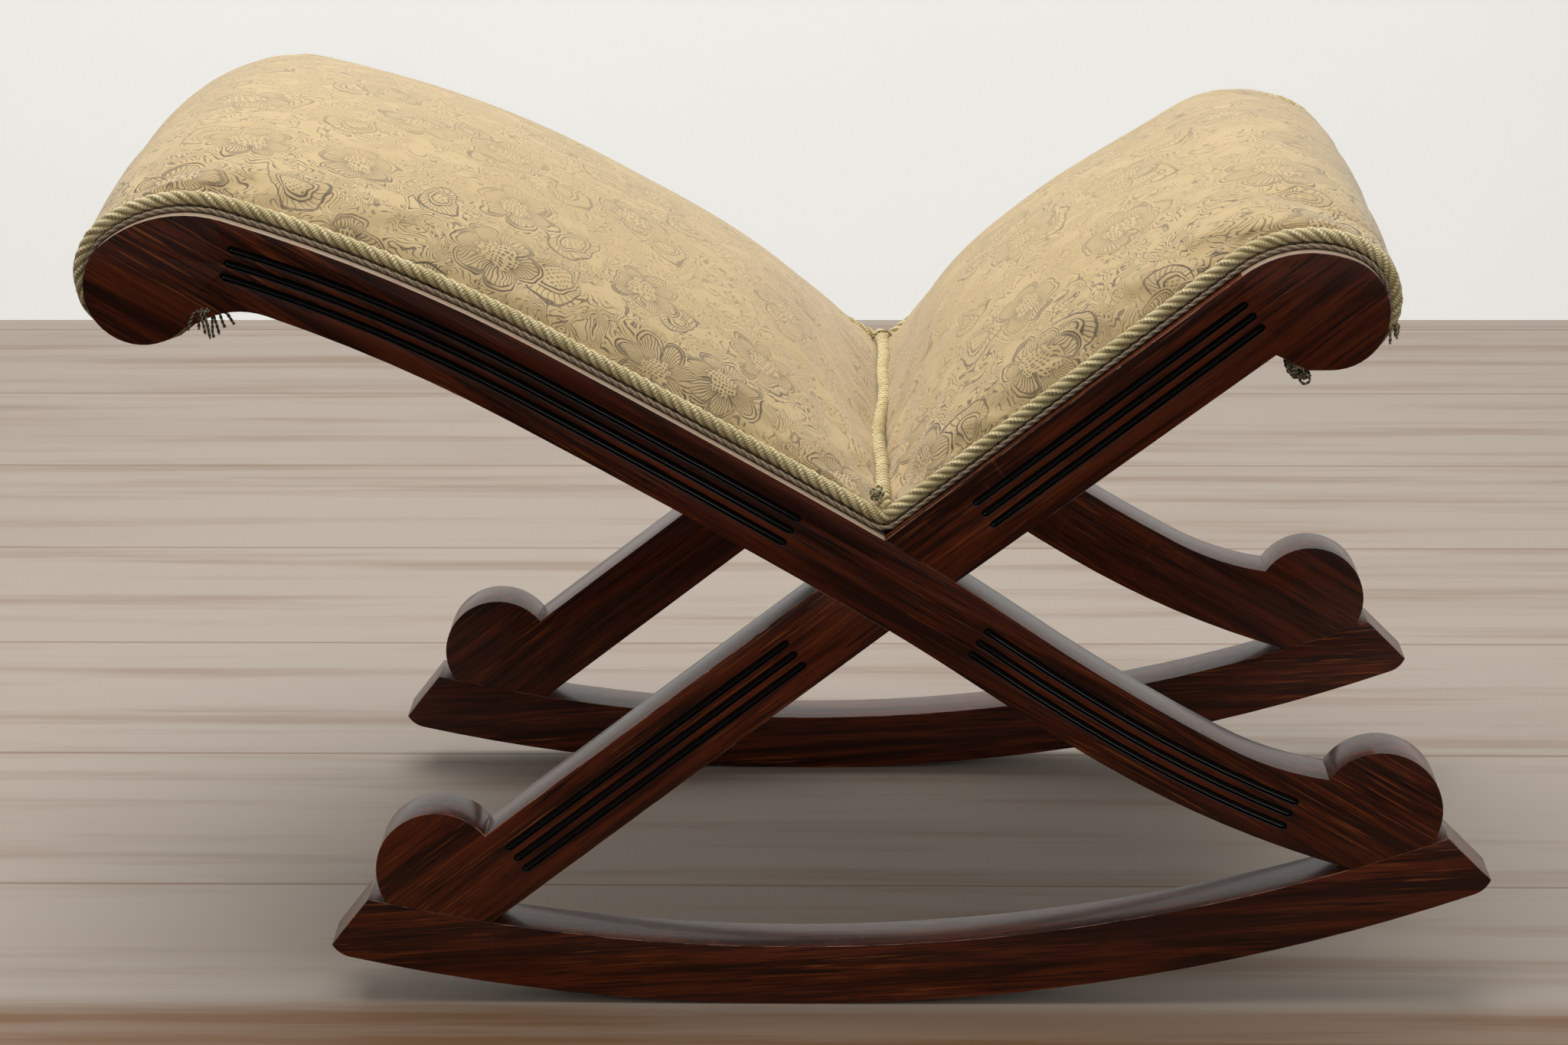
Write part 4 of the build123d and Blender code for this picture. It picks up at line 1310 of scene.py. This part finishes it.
def curled_yarn(centre, radius, turns, depth):
    """A small tangle of yarn wound about a point."""
    angle = np.linspace(0, turns * 2 * math.pi, 26 * turns)
    wander = radius * (0.75 + 0.35 * np.sin(angle * 0.61 + chance.uniform(0, 6)))
    x = centre[0] + wander * np.cos(angle)
    y = centre[1] + wander * np.sin(angle)
    return in_elevation(x, y, depth + 0.0035 * np.sin(angle * 0.37 + chance.uniform(0, 6)))


TASSEL = [(-0.3400, 0.0010, 0.0100), (-0.3385, 0.0020, 0.0120), (-0.3370, 0.0025, 0.0150)]
TASSEL += [(-0.3360, 0.0035, 0.0155), (-0.3350, 0.0045, 0.0140), (-0.3345, 0.0075, 0.0110)]
TASSEL += [(-0.3340, 0.0120, 0.0095), (-0.3390, -0.0060, 0.0100), (-0.3365, 0.0010, 0.0135)]
TASSEL_TOP = 0.3965
FAR_LOOP = 83
tassel = []
for start_x, reach, drop in TASSEL:
    tassel.append(hanging_yarn((start_x, TASSEL_TOP), reach, drop, chance.uniform(-0.2055, -0.196)))
for x in (-0.3375, -0.3345):
    tassel.append(curled_yarn((x, TASSEL_TOP), 0.0016, 2, -0.2010))
twist("tassel", tassel, STRAY, YARN)
knots = []
for x, y, radius in ((0.2112, 0.3318, 0.0026), (0.2135, 0.3285, 0.0032), (0.2172, 0.3262, 0.0026)):
    for depth in (-0.2005, -0.1900):
        knots.append(curled_yarn((x, y), radius, 3, depth))
twist("knotted_ends", knots, STRAY, YARN)
frayed = []
for reach in (-0.0035, -0.0015, 0.0, 0.001):
    start = (0.2655 + chance.normal(0, 0.0008), 0.3485)
    frayed.append(hanging_yarn(start, reach, chance.uniform(0.006, 0.010), -CORD_DEPTH))
twist("frayed_end", frayed, CORD, YARN)
valley_knot = [curled_yarn((x, y), 0.0021, 4, -0.1890) for x, y in ((-0.0036, 0.2748), (-0.0016, 0.2758))]
twist("valley_knot", valley_knot, CORD, YARN)
angle = np.linspace(0, 2 * math.pi, 30)
far_end = valley_route()[FAR_LOOP]
loop = far_end + np.stack([0.0058 * np.cos(angle), 0.003 * np.cos(angle), 0.0052 * np.sin(angle)], -1)
twist("valley_loop", [loop], CORD, YARN)

# %% [markdown]
# ## Under the cushions
#
# From below, the webs, the hessian and the cross rails show. They are plain: raw beech for the rails
# and the dowels, woven jute for the webs, and a coarser open weave for the hessian.


# %% Weave and plain wood
def weave_group():
    """Threads over and under each other; the input is a place in threads."""
    group, given, result = finish_group("weave", ("Thread", "Gap"), ("Color", "Height"))
    x, y, z = parts_of(group, given["Vector"])
    over = ((x + z) * math.pi).math("SINE").math("ABSOLUTE")
    under = (y * math.pi).math("SINE").math("ABSOLUTE")
    height = over.math("MAXIMUM", under) * (over * under * 0.4 + 0.6)
    tone = noise_field(group, given["Vector"], 0.6, 3.0)
    shade = height.smooth(0.35, 0.95) * (tone * 0.5 + 0.6)
    feed(group, result["Color"], blend_colours(group, shade, given["Gap"], given["Thread"]))
    feed(group, result["Height"], height)
    return group


WEAVE = weave_group()


def woven(name, threads_per_metre, thread, gap):
    """A plain weave of this many threads to the metre."""
    material, tree, shader = new_material(name, Roughness=0.9)
    place = stretch(tree, object_vector(tree), (threads_per_metre,) * 3)
    cloth = use_group(tree, WEAVE, {"Vector": place, "Thread": thread, "Gap": gap})
    dress(tree, shader, cloth["Color"], bump=(cloth["Height"], 0.5, 0.0005))
    return material


def plain_wood():
    """Raw beech, whose grain runs across the stool."""
    material, tree, shader = new_material("rail_wood", Coat_Weight=0.05)
    place = object_vector(tree, (0.0, 0.0, math.pi / 2))
    colours = {"Dark": (0.25, 0.14, 0.065, 1), "Red": (0.42, 0.26, 0.13, 1), "Streak": (0.5, 0.33, 0.18, 1)}
    grain = use_group(tree, WOOD_GRAIN, {"Vector": place, **colours})
    dress(tree, shader, grain["Color"], Field(tree, grain["Roughness"]) + 0.3)
    return material


RAIL_WOOD = plain_wood()
WEBBING = woven("webbing", 420.0, (0.5, 0.39, 0.24, 1.0), (0.16, 0.11, 0.06, 1.0))
HESSIAN = woven("hessian", 560.0, (0.42, 0.31, 0.17, 1.0), (0.1, 0.065, 0.03, 1.0))

HIDDEN = {"rail": RAIL_WOOD, "dowels": RAIL_WOOD, "webs": WEBBING, "hessian": HESSIAN}
for name, node in nodes.items():
    for word, material in HIDDEN.items():
        if word in name:
            node.data.materials.clear()
            node.data.materials.append(material)
            print(name, material.name)
